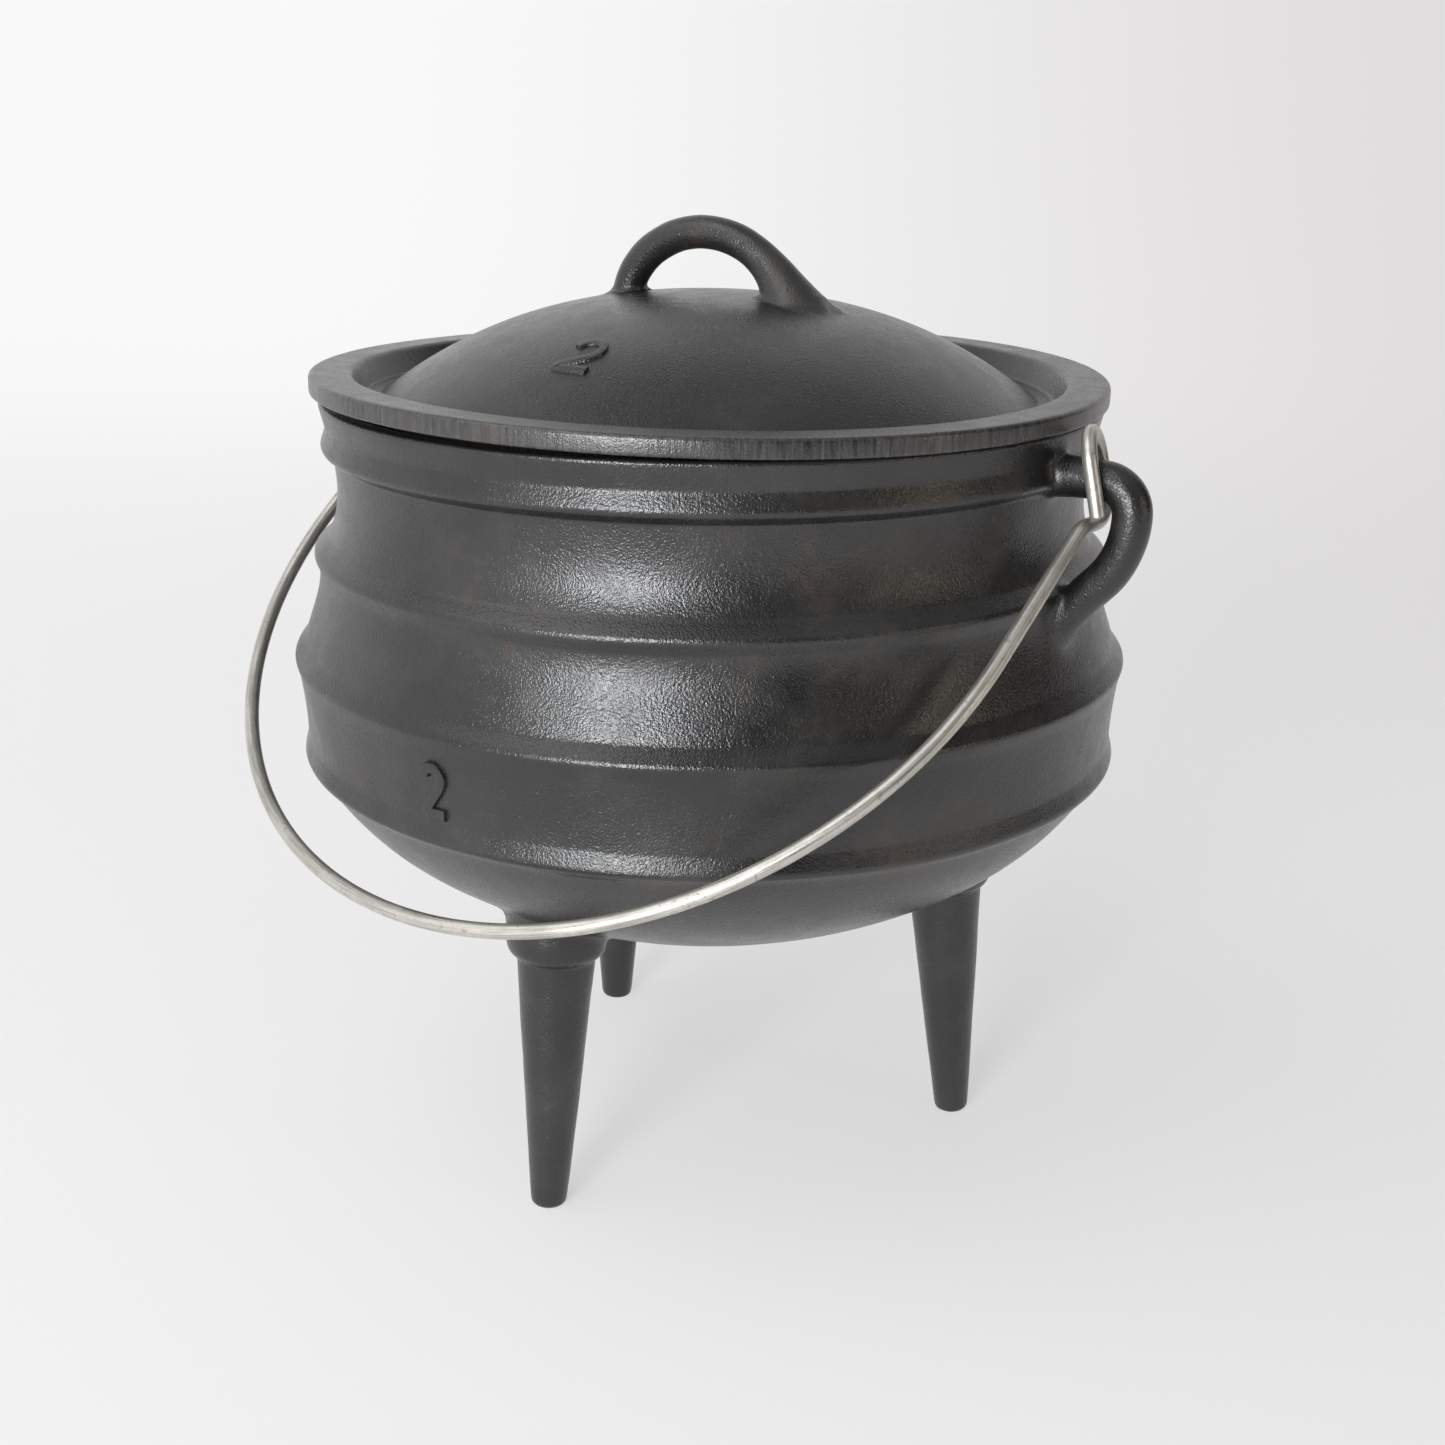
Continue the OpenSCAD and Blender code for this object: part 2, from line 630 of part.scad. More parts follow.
module bail_handle() {
    color(steel)
        translate([0, 0, hinge_z]) {
            bent_rod(half_bail(-bow_shift), half_bail_radii, wire_d);
            mirror([1, 0, 0])
                bent_rod(half_bail(bow_shift), half_bail_radii, wire_d);
            joint_ball(on_bow(-bow_shift, bow_drop), [1, 0, 0], wire_d);
        }
}

pot();
lid();
bail_handle();
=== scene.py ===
"""Looks of a three-legged cast iron pot with its lid and wire bail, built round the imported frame.

The classes keep their sizes in millimetres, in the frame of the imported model: the pot's axis is Z,
the ears lie along X and one leg stands at the front, along -Y. Every mesh is made in metres.
"""

from __future__ import annotations

import logging
import math
from collections.abc import Iterable, Mapping, Sequence
from dataclasses import dataclass, field
from enum import Enum
from typing import Any

import bmesh
import bpy
from mathutils import Matrix, Vector

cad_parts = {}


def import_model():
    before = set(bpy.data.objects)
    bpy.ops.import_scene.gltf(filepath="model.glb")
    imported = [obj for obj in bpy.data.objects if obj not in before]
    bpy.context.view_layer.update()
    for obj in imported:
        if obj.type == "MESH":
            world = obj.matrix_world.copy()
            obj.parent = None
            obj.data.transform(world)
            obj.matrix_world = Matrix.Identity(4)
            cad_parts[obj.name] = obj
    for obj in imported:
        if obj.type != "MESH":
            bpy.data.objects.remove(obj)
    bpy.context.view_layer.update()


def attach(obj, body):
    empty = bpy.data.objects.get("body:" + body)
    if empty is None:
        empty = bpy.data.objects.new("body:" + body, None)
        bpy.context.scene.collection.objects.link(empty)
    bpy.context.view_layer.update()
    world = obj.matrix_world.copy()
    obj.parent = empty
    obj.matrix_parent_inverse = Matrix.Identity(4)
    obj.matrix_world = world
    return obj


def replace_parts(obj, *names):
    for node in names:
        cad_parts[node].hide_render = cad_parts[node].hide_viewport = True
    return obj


MM = 0.001
LOG = logging.getLogger("pot")

SAME_PLACE = 0.01
SMOOTH_ALL_OVER = 180
CAST_CREASE = 48
WAVE_SOCKETS = {"Wave Depth": "Float", "Wave Size": "Float", "Seed": "Float"}

Pair = tuple[float, float]
Colour = tuple[float, float, float, float]


class Body(Enum):
    """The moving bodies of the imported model."""

    POT = "pot"
    BAIL = "bail"


class Part(Enum):
    """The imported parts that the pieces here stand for."""

    POT = "pot"
    LID = "lid"
    BAIL = "bail_handle"


class Slot(Enum):
    """The material slots of the record."""

    POT_IRON = "pot_iron"
    LID_IRON = "lid_iron"
    BAIL_STEEL = "bail_steel"


# Node trees as expressions.


class Signal:
    """A number, vector or colour on its way through a node tree."""

    def __init__(self, graph: Graph, socket: bpy.types.NodeSocket) -> None:
        """Wraps an output socket.

        Args:
            graph: The tree that the socket belongs to.
            socket: The output socket.
        """
        self.graph = graph
        self.socket = socket

    def _maths(self, operation: str, first: Any, second: Any = None) -> Signal:
        """Joins one or two operands with a Math or Vector Math node.

        Args:
            operation: The node's operation.
            first: A signal, a number or a triple.
            second: The other operand, where the operation takes two.

        Returns:
            The node's result.
        """
        given = [first] if second is None else [first, second]
        vectors = [
            isinstance(x, tuple) or (isinstance(x, Signal) and x.socket.type == "VECTOR")
            for x in given
        ]
        if not any(vectors):
            return self.graph.signal(
                "ShaderNodeMath", {"operation": operation}, dict(enumerate(given))
            )
        if operation == "MULTIPLY" and not all(vectors):
            vector, number = given if vectors[0] else reversed(given)
            return self.graph.signal(
                "ShaderNodeVectorMath",
                {"operation": "SCALE"},
                {"Vector": vector, "Scale": number},
            )
        return self.graph.signal(
            "ShaderNodeVectorMath", {"operation": operation}, dict(enumerate(given))
        )

    def __add__(self, other: Any) -> Signal:
        """Adds another operand."""
        return self._maths("ADD", self, other)

    __radd__ = __add__

    def __sub__(self, other: Any) -> Signal:
        """Takes another operand away."""
        return self._maths("SUBTRACT", self, other)

    def __rsub__(self, other: Any) -> Signal:
        """Takes this signal away from another operand."""
        return self._maths("SUBTRACT", other, self)

    def __mul__(self, other: Any) -> Signal:
        """Multiplies by another operand."""
        return self._maths("MULTIPLY", self, other)

    __rmul__ = __mul__

    def __truediv__(self, other: Any) -> Signal:
        """Divides by another operand."""
        return self._maths("DIVIDE", self, other)

    def __rtruediv__(self, other: Any) -> Signal:
        """Divides another operand by this signal."""
        return self._maths("DIVIDE", other, self)

    def floor(self) -> Signal:
        """Rounds down."""
        return self._maths("FLOOR", self)

    def cos(self) -> Signal:
        """Takes the cosine."""
        return self._maths("COSINE", self)

    def sin(self) -> Signal:
        """Takes the sine."""
        return self._maths("SINE", self)

    def larger(self, other: Any) -> Signal:
        """Takes the larger of this and another operand."""
        return self._maths("MAXIMUM", self, other)

    def between(self, low: float, high: float) -> Signal:
        """Eases from 0 at one value to 1 at another.

        Args:
            low: The value that gives 0.
            high: The value that gives 1.

        Returns:
            The eased signal, never outside 0 to 1.
        """
        return self.graph.signal(
            "ShaderNodeMapRange",
            {"interpolation_type": "SMOOTHSTEP"},
            {"Value": self, "From Min": low, "From Max": high},
        )


class Graph:
    """A node tree that is filled by expressions and by one method for every other node."""

    COLUMNS, COLUMN_WIDTH, ROW_HEIGHT = 9, 210, 190

    def __init__(self, tree: bpy.types.NodeTree) -> None:
        """Starts on a tree.

        Args:
            tree: The shader or geometry node tree to fill.
        """
        self.tree = tree

    def node(
        self,
        kind: str,
        settings: Mapping[str, Any] | None = None,
        inputs: Mapping[str | int, Any] | None = None,
    ) -> bpy.types.Node:
        """Adds a node.

        Args:
            kind: The node's type.
            settings: Its settings, which are set before its sockets.
            inputs: What its sockets get, by name or place: a value, a signal, or a list of signals.

        Returns:
            The new node.
        """
        made = self.tree.nodes.new(kind)
        place = len(self.tree.nodes)
        row, column = divmod(place, self.COLUMNS)
        made.location = (self.COLUMN_WIDTH * column, -self.ROW_HEIGHT * row)
        for name, value in (settings or {}).items():
            setattr(made, name, value)
        for key, value in (inputs or {}).items():
            socket = self._find(made.inputs, key)
            for one in value if isinstance(value, list) else [value]:
                if isinstance(one, Signal):
                    self.tree.links.new(one.socket, socket)
                else:
                    socket.default_value = one
        return made

    def signal(
        self,
        kind: str,
        settings: Mapping[str, Any] | None = None,
        inputs: Mapping[str | int, Any] | None = None,
        output: str | int = 0,
    ) -> Signal:
        """Adds a node and takes one of its outputs.

        Args:
            kind: The node's type.
            settings: Its settings.
            inputs: What its sockets get.
            output: The output's name or place.

        Returns:
            The output as a signal.
        """
        made = self.node(kind, settings, inputs)
        return Signal(self, self._find(made.outputs, output))

    def blend(self, share: Any, first: Any, second: Any) -> Signal:
        """Mixes two colours.

        Args:
            share: How much of the second colour shows, from 0 to 1.
            first: The colour at a share of 0.
            second: The colour at a share of 1.

        Returns:
            The mixed colour.
        """
        return self.signal(
            "ShaderNodeMix",
            {"data_type": "RGBA"},
            {"Factor": share, "A": first, "B": second},
            "Result",
        )

    def along(self, where: Signal, way: tuple[float, float, float]) -> Signal:
        """Measures how far coordinates lie along a direction.

        Args:
            where: The coordinates.
            way: The direction.

        Returns:
            The distance along it.
        """
        return self.signal(
            "ShaderNodeVectorMath", {"operation": "DOT_PRODUCT"}, {0: where, 1: way}, "Value"
        )

    def bump(self, height: Signal, depth: float, strength: float, **under: Signal) -> Signal:
        """Adds a bump.

        Args:
            height: The height, from 0 to 1.
            depth: How deep a height of 1 is, in millimetres.
            strength: How strongly it shows.
            **under: The Normal of a bump that it lies on.

        Returns:
            The bent normal.
        """
        sizes = {"Strength": strength, "Distance": depth * MM}
        return self.signal("ShaderNodeBump", inputs={**sizes, "Height": height, **under})

    def noise(
        self, where: Signal, size: float, detail: float = 2.0, rough: float = 0.5, seed: float = 0.0
    ) -> Signal:
        """Adds a noise texture.

        Args:
            where: The coordinates to read.
            size: The width of its blobs, in metres.
            detail: How many finer layers it has.
            rough: How strong the finer layers are.
            seed: Which noise it is.

        Returns:
            The noise, about 0.5 on average.
        """
        return self.signal(
            "ShaderNodeTexNoise",
            {"noise_dimensions": "4D"},
            {
                "Vector": where,
                "W": seed,
                "Scale": 1 / size,
                "Detail": detail,
                "Roughness": rough,
            },
        )

    @staticmethod
    def _find(sockets: Any, key: str | int) -> bpy.types.NodeSocket:
        """Finds a socket that is in use, by its name or place.

        Args:
            sockets: A node's inputs or outputs.
            key: The socket's name or place.

        Returns:
            The socket.
        """
        if isinstance(key, int):
            return sockets[key]
        return next(s for s in sockets if s.name == key and s.enabled)


def fresh_graph(owner: Any) -> Graph:
    """Empties the node tree of a material or a world.

    Args:
        owner: The material or the world.

    Returns:
        Its tree, ready to be filled.
    """
    owner.use_nodes = True
    owner.node_tree.nodes.clear()
    return Graph(owner.node_tree)


def linked(name: str, data: Any) -> bpy.types.Object:
    """Puts an object in the scene.

    Args:
        name: The object's name.
        data: Its mesh, camera or lamp.

    Returns:
        The object.
    """
    made = bpy.data.objects.new(name, data)
    bpy.context.scene.collection.objects.link(made)
    return made


@dataclass(frozen=True)
class Waves:
    """The slight waves of a casting's skin, with none where nothing is given."""

    depth: float = 0.0
    size: float = 1000.0
    seed: float = 0.0

    def inputs(self) -> dict[str, float]:
        """Gives the values of a tree's wave sockets, with the lengths in metres."""
        return {"Wave Depth": self.depth * MM, "Wave Size": self.size * MM, "Seed": self.seed}


class Form(Graph):
    """A geometry node tree with named inputs, whose result is kept as a plain mesh."""

    def __init__(self, name: str, inputs: Mapping[str, str]) -> None:
        """Starts a tree that takes a geometry, a material and the named inputs.

        Args:
            name: The tree's name.
            inputs: The type of each further input's socket, by its name.
        """
        super().__init__(bpy.data.node_groups.new(name, "GeometryNodeTree"))
        sockets = self.tree.interface
        sockets.new_socket("Geometry", in_out="INPUT", socket_type="NodeSocketGeometry")
        self.keys: dict[str, str] = {}
        for label, kind in {**inputs, "Material": "Material"}.items():
            made = sockets.new_socket(label, in_out="INPUT", socket_type=f"NodeSocket{kind}")
            self.keys[label] = made.identifier
        sockets.new_socket("Geometry", in_out="OUTPUT", socket_type="NodeSocketGeometry")
        self.entry = self.node("NodeGroupInput")

    def given(self, label: str) -> Signal:
        """Takes one of the tree's own inputs."""
        return Signal(self, self.entry.outputs[label])

    def waved(self, solid: Signal) -> Signal:
        """Moves a solid's surface in and out in the slight waves of a casting.

        Args:
            solid: The solid, with inputs Wave Depth, Wave Size and Seed in the tree.

        Returns:
            The waved solid.
        """
        place = self.signal("GeometryNodeInputPosition")
        wave = self.signal(
            "ShaderNodeTexNoise",
            {"noise_dimensions": "4D"},
            {
                "Vector": place,
                "W": self.given("Seed"),
                "Scale": 1 / self.given("Wave Size"),
                "Detail": 2.0,
            },
        )
        offset = self.signal("GeometryNodeInputNormal") * (
            (wave - 0.5) * self.given("Wave Depth")
        )
        return self.signal(
            "GeometryNodeSetPosition", inputs={"Geometry": solid, "Offset": offset}
        )

    def finish(self, solid: Signal) -> None:
        """Ends the tree.

        Args:
            solid: What the tree has made.
        """
        smooth = self.signal("GeometryNodeSetShadeSmooth", inputs={"Geometry": solid})
        real = self.signal("GeometryNodeRealizeInstances", inputs={"Geometry": smooth})
        dressed = self.signal(
            "GeometryNodeSetMaterial",
            inputs={"Geometry": real, "Material": self.given("Material")},
        )
        self.node("NodeGroupOutput", inputs={"Geometry": dressed})

    def make(
        self, name: str, start: bpy.types.Mesh, values: Mapping[str, Any]
    ) -> bpy.types.Mesh:
        """Runs the tree on a mesh.

        Args:
            name: The name of the result.
            start: The mesh that the tree starts from.
            values: The value of each input, by its name.

        Returns:
            The result as a plain mesh, with no modifier left.
        """
        carrier = linked(name, start)
        modifier = carrier.modifiers.new(name, "NODES")
        modifier.node_group = self.tree
        for label, value in values.items():
            modifier[self.keys[label]] = value
        state = bpy.context.evaluated_depsgraph_get()
        made = bpy.data.meshes.new_from_object(
            carrier.evaluated_get(state), preserve_all_data_layers=True, depsgraph=state
        )
        bpy.data.objects.remove(carrier)
        made.name = name
        return made


class Lathe(Form):
    """Turns a half section about Z into a closed solid."""

    SEAM_GAP = 2e-6

    def __init__(self) -> None:
        """Builds the tree: a sheet of rows and columns, moved to the turned section's points."""
        super().__init__("lathe", {"Segments": "Int", **WAVE_SOCKETS})
        section = self.given("Geometry")
        segments = self.given("Segments")
        rows = self.signal(
            "GeometryNodeAttributeDomainSize", {"component": "MESH"}, {"Geometry": section}
        )
        columns = segments + 1.0
        sheet = self.signal(
            "GeometryNodeMeshGrid", inputs={"Vertices X": rows, "Vertices Y": columns}
        )
        index = self.signal("GeometryNodeInputIndex")
        row = (index / columns).floor()
        turn = (index - row * columns) / segments * math.tau
        place = self.signal("GeometryNodeInputPosition")
        drawn = self.signal(
            "GeometryNodeSampleIndex",
            {"data_type": "FLOAT_VECTOR"},
            {"Geometry": section, "Value": place, "Index": row},
        )
        parts = self.node("ShaderNodeSeparateXYZ", inputs={0: drawn})
        radius, height = Signal(self, parts.outputs["X"]), Signal(self, parts.outputs["Z"])
        turned = self.signal(
            "ShaderNodeCombineXYZ",
            inputs={"X": radius * turn.cos(), "Y": radius * turn.sin(), "Z": height},
        )
        solid = self.signal(
            "GeometryNodeSetPosition", inputs={"Geometry": sheet, "Position": turned}
        )
        closed = self.signal(
            "GeometryNodeMergeByDistance", inputs={"Geometry": solid, "Distance": self.SEAM_GAP}
        )
        self.finish(self.waved(closed))


class Tube(Form):
    """Runs a round bar of changing thickness along a path."""

    def __init__(self) -> None:
        """Builds the tree: the path as a curve, a circle swept along it, and both ends filled."""
        super().__init__("tube", {"Sides": "Int", **WAVE_SOCKETS})
        thickness = self.signal(
            "GeometryNodeInputNamedAttribute", {"data_type": "FLOAT"}, {"Name": "thickness"}
        )
        line = self.signal("GeometryNodeMeshToCurve", inputs={"Mesh": self.given("Geometry")})
        marked = self._marked(line, "along", "Length")
        ring = self.signal(
            "GeometryNodeCurvePrimitiveCircle",
            {"mode": "RADIUS"},
            {"Resolution": self.given("Sides"), "Radius": 1.0},
        )
        marked_ring = self._marked(ring, "around", "Factor")
        bar = self.signal(
            "GeometryNodeCurveToMesh",
            inputs={
                "Curve": marked,
                "Profile Curve": marked_ring,
                "Scale": thickness / 2.0,
                "Fill Caps": True,
            },
        )
        self.finish(self.waved(bar))

    def _marked(self, curve: Signal, name: str, measure: str) -> Signal:
        """Keeps a measure of a curve as an attribute.

        Args:
            curve: The curve.
            name: The attribute's name.
            measure: What is kept: the Length or the Factor of each point's place on the curve.

        Returns:
            The curve with its attribute.
        """
        value = self.signal("GeometryNodeSplineParameter", output=measure)
        return self.signal(
            "GeometryNodeStoreNamedAttribute",
            {"data_type": "FLOAT", "domain": "POINT"},
            {"Geometry": curve, "Name": name, "Value": value},
        )


class Ring(Form):
    """Sets copies of a piece evenly about Z."""

    def __init__(self) -> None:
        """Builds the tree: one instance on each of the counted points, each turned by its share."""
        super().__init__("ring", {"Count": "Int"})
        count = self.given("Count")
        points = self.signal("GeometryNodePoints", inputs={"Count": count})
        turn = self.signal("GeometryNodeInputIndex") / count * math.tau
        spin = self.signal("ShaderNodeCombineXYZ", inputs={"Z": turn})
        self.finish(
            self.signal(
                "GeometryNodeInstanceOnPoints",
                inputs={
                    "Points": points,
                    "Instance": self.given("Geometry"),
                    "Rotation": spin,
                },
            )
        )


class Casting(Form):
    """Casts a solid and what grows out of it in one, with a soft fillet where they meet."""

    FULL_EASE = 0.8

    def __init__(self) -> None:
        """Builds the tree: the additions lose what would show inside, join on, and ease in."""
        super().__init__(
            "casting",
            {"Additions": "Object", "Core": "Object", "Reach": "Float", "Passes": "Int"},
        )
        solid = self.given("Geometry")
        grown, core = (
            self.signal(
                "GeometryNodeObjectInfo", inputs={"Object": self.given(label)}, output="Geometry"
            )
            for label in ("Additions", "Core")
        )
        hollowed = self._boolean("DIFFERENCE", {"Mesh 1": grown, "Mesh 2": core})
        joined = self._boolean("UNION", {1: [solid, hollowed]})
        to_solid, to_grown = (
            self.signal(
                "GeometryNodeProximity",
                {"target_element": "FACES"},
                {"Geometry": target},
                "Distance",
            )
            for target in (solid, hollowed)
        )
        nearness = 1.0 - to_solid.larger(to_grown) / self.given("Reach")
        weight = nearness.between(0.0, self.FULL_EASE)
        place = self.signal("GeometryNodeInputPosition")
        eased = self.signal(
            "GeometryNodeBlurAttribute",
            {"data_type": "FLOAT_VECTOR"},
            {"Value": place, "Iterations": self.given("Passes"), "Weight": weight},
        )
        self.finish(
            self.signal(
                "GeometryNodeSetPosition", inputs={"Geometry": joined, "Position": eased}
            )
        )

    def _boolean(self, operation: str, meshes: Mapping[str | int, Any]) -> Signal:
        """Joins or cuts closed solids.

        Args:
            operation: The boolean's operation.
            meshes: The solids that it works on, by socket.

        Returns:
            The solid that it leaves.
        """
        return self.signal(
            "GeometryNodeMeshBoolean", {"operation": operation, "solver": "MANIFOLD"}, meshes
        )


# Outlines and paths.


def mixed(a: Sequence[float], b: Sequence[float], share: float) -> tuple[float, ...]:
    """Takes the point at a share of the way from one point to another.

    Args:
        a: The point at a share of 0.
        b: The point at a share of 1.
        share: The share.

    Returns:
        The point between.
    """
    return tuple(p + (q - p) * share for p, q in zip(a, b))


def polar(centre: Pair, radius: float, degrees: float) -> Pair:
    """Takes a point on a circle.

    Args:
        centre: The circle's centre.
        radius: Its radius.
        degrees: The point's angle.

    Returns:
        The point.
    """
    angle = math.radians(degrees)
    return centre[0] + radius * math.cos(angle), centre[1] + radius * math.sin(angle)


def touch(point: Pair, centre: Pair, radius: float, side: int) -> float:
    """Finds where a line from a point touches a circle.

    Args:
        point: The point.
        centre: The circle's centre.
        radius: Its radius.
        side: 1 or -1, for one side of the circle or the other.

    Returns:
        The angle of the place of contact, in degrees.
    """
    dx, dy = point[0] - centre[0], point[1] - centre[1]
    return math.degrees(math.atan2(dy, dx) + side * math.acos(radius / math.hypot(dx, dy)))


@dataclass
class Outline:
    """A half section, drawn point by point as distances from the axis and heights."""

    points: list[Pair] = field(default_factory=list)

    def to(self, *points: Pair) -> Outline:
        """Goes straight to each point."""
        self.points.extend(points)
        return self

    def arc(
        self, centre: Pair, radius: float, start: float, stop: float, steps: int
    ) -> Outline:
        """Goes round a circle.

        Args:
            centre: The circle's centre.
            radius: Its radius.
            start: The angle of the first point, in degrees.
            stop: The angle of the last point.
            steps: How many steps it takes.

        Returns:
            This outline.
        """
        for i in range(steps + 1):
            self.points.append(polar(centre, radius, start + (stop - start) * i / steps))
        return self

    def curve(self, a: Pair, b: Pair, c: Pair, d: Pair, steps: int) -> Outline:
        """Goes along a free curve.

        Args:
            a: Its first point.
            b: The point that it leaves towards.
            c: The point that it comes from.
            d: Its last point.
            steps: How many steps it takes.

        Returns:
            This outline.
        """
        for i in range(steps + 1):
            t = i / steps
            weights = ((1 - t) ** 3, 3 * (1 - t) ** 2 * t, 3 * (1 - t) * t * t, t**3)
            self.points.append(
                tuple(sum(w * p[k] for w, p in zip(weights, (a, b, c, d))) for k in (0, 1))
            )
        return self

    def moved_in(self, depth: float) -> Outline:
        """Moves the outline sideways, to the left of its direction.

        Args:
            depth: How far it moves.

        Returns:
            The moved outline.
        """
        moved: list[Pair] = []
        last = len(self.points) - 1
        for i, (r, z) in enumerate(self.points):
            before, after = self.points[max(i - 1, 0)], self.points[min(i + 1, last)]
            dr, dz = after[0] - before[0], after[1] - before[1]
            length = math.hypot(dr, dz) or 1.0
            moved.append((r + depth * dz / length, z - depth * dr / length))
        return Outline(moved)

    def eased(self, step: float = 0.4, passes: int = 3) -> Outline:
        """Rounds every corner a little, as sand casting does.

        Args:
            step: The spacing of the points that it is worked on with.
            passes: How often each point moves towards its neighbours.

        Returns:
            The rounded outline, with its end points kept.
        """
        fine: list[Pair] = [self.points[0]]
        for a, b in zip(self.points, self.points[1:]):
            length = math.hypot(b[0] - a[0], b[1] - a[1])
            if length < 1e-6:
                continue
            count = max(1, round(length / step))
            fine.extend(mixed(a, b, (i + 1) / count) for i in range(count))
        for _ in range(passes):
            fine = (
                fine[:1]
                + [
                    tuple((p[k] + 2 * q[k] + r[k]) / 4 for k in (0, 1))
                    for p, q, r in zip(fine, fine[1:], fine[2:])
                ]
                + fine[-1:]
            )
        return Outline(fine)

    def thinned(self, error: float, longest: float) -> Outline:
        """Leaves out the points that a straight line passes close enough to.

        Args:
            error: How far the line may pass from a point that is left out.
            longest: The longest step that is left.

        Returns:
            The outline with fewer points.
        """
        kept, start = [self.points[0]], 0
        for i in range(2, len(self.points)):
            a, b = self.points[start], self.points[i]
            length = math.hypot(b[0] - a[0], b[1] - a[1])
            off = max(
                abs((b[0] - a[0]) * (p[1] - a[1]) - (b[1] - a[1]) * (p[0] - a[0]))
                / max(length, 1e-9)
                for p in self.points[start + 1 : i]
            )
            if off > error or length > longest:
                kept.append(self.points[i - 1])
                start = i - 1
        return Outline([*kept, self.points[-1]])

    def _furthest(self, axis: int, value: float) -> float:
        """Reads the outline where one of its coordinates has a value.

        Args:
            axis: The place of that coordinate in a point.
            value: Its value.

        Returns:
            The largest other coordinate that the outline has there.
        """
        other = 1 - axis
        return max(
            a[other] + (b[other] - a[other]) * (value - a[axis]) / (b[axis] - a[axis])
            for a, b in zip(self.points, self.points[1:])
            if min(a[axis], b[axis]) <= value <= max(a[axis], b[axis]) and a[axis] != b[axis]
        )

    def radius_at(self, height: float) -> float:
        """Finds the largest distance from the axis at a height."""
        return self._furthest(1, height)

    def height_at(self, radius: float) -> float:
        """Finds the greatest height at a distance from the axis."""
        return self._furthest(0, radius)

    def mesh(self, name: str) -> bpy.types.Mesh:
        """Makes the outline a line of edges in the XZ plane.

        Args:
            name: The mesh's name.

        Returns:
            The mesh, in metres.
        """
        return line_mesh(name, [Vector((r, 0, z)) for r, z in self.points])


def line_mesh(
    name: str, points: Sequence[Vector], thickness: Sequence[float] | None = None
) -> bpy.types.Mesh:
    """Makes a line of edges.

    Args:
        name: The mesh's name.
        points: The points of the line, in millimetres.
        thickness: The bar's thickness at each point, in millimetres, where a bar follows the line.

    Returns:
        The mesh, in metres, with its attribute "thickness" set.
    """
    made = bpy.data.meshes.new(name)
    made.from_pydata([p * MM for p in points], [(i, i + 1) for i in range(len(points) - 1)], [])
    if thickness is not None:
        made.attributes.new("thickness", "FLOAT", "POINT").data.foreach_set(
            "value", [t * MM for t in thickness]
        )
    return made


def without_doubles(path: Sequence[Vector]) -> list[Vector]:
    """Leaves out each point of a path that lies where the one before it does."""
    return [p for i, p in enumerate(path) if i == 0 or (p - path[i - 1]).length > SAME_PLACE]


def bent_path(points: Sequence[Vector], radii: Sequence[float], step: float) -> list[Vector]:
    """Rounds the corners of a path.

    Args:
        points: The path's ends and corners.
        radii: The radius of each corner.
        step: The longest step between the points of a bend.

    Returns:
        The points of the path, closer together in its bends.
    """
    path = [points[0].copy()]
    for before, corner, after, radius in zip(points, points[1:], points[2:], radii):
        u, v = (before - corner).normalized(), (after - corner).normalized()
        half = u.angle(v) / 2
        cut = radius / math.tan(half)
        centre = corner + (u + v).normalized() * radius / math.sin(half)
        start, stop = corner + u * cut - centre, corner + v * cut - centre
        axis = start.cross(stop).normalized()
        count = max(4, math.ceil(radius * (math.pi - 2 * half) / step))
        for i in range(count + 1):
            turned = Matrix.Rotation((math.pi - 2 * half) * i / count, 3, axis) @ start
            path.append(centre + turned)
    path.append(points[-1].copy())
    return without_doubles(path)


def filled_in(path: Sequence[Vector], step: float) -> list[Vector]:
    """Adds points where a path's steps are long.

    Args:
        path: The path's points.
        step: The longest step that is left.

    Returns:
        The path with its added points.
    """
    full = [path[0]]
    for a, b in zip(path, path[1:]):
        count = max(1, math.ceil((b - a).length / step))
        full.extend(a.lerp(b, (i + 1) / count) for i in range(count))
    return full


def run_of(path: Sequence[Vector]) -> list[float]:
    """Measures how far along a path each of its points is.

    Args:
        path: The path's points.

    Returns:
        The length of the path up to each point.
    """
    run = [0.0]
    for a, b in zip(path, path[1:]):
        run.append(run[-1] + (b - a).length)
    return run


def sharpened(mesh: bpy.types.Mesh, degrees: float) -> bpy.types.Mesh:
    """Turns a closed mesh's faces outwards and marks its sharp edges.

    Args:
        mesh: The mesh.
        degrees: The angle past which an edge is sharp.

    Returns:
        The same mesh.
    """
    work = bmesh.new()
    work.from_mesh(mesh)
    bmesh.ops.recalc_face_normals(work, faces=work.faces)
    work.to_mesh(mesh)
    work.free()
    mesh.shade_smooth()
    mesh.set_sharp_from_angle(angle=math.radians(degrees))
    return mesh


def as_piece(name: str, mesh: bpy.types.Mesh, body: Body) -> bpy.types.Object:
    """Makes a mesh a piece that rides on a body.

    Args:
        name: The piece's name.
        mesh: Its mesh, in place.
        body: The body that it moves with.

    Returns:
        The piece.
    """
    piece = linked(name, mesh)
    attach(piece, body.value)
    LOG.info("%s: %d faces on %s", name, len(mesh.polygons), body.value)
    return piece


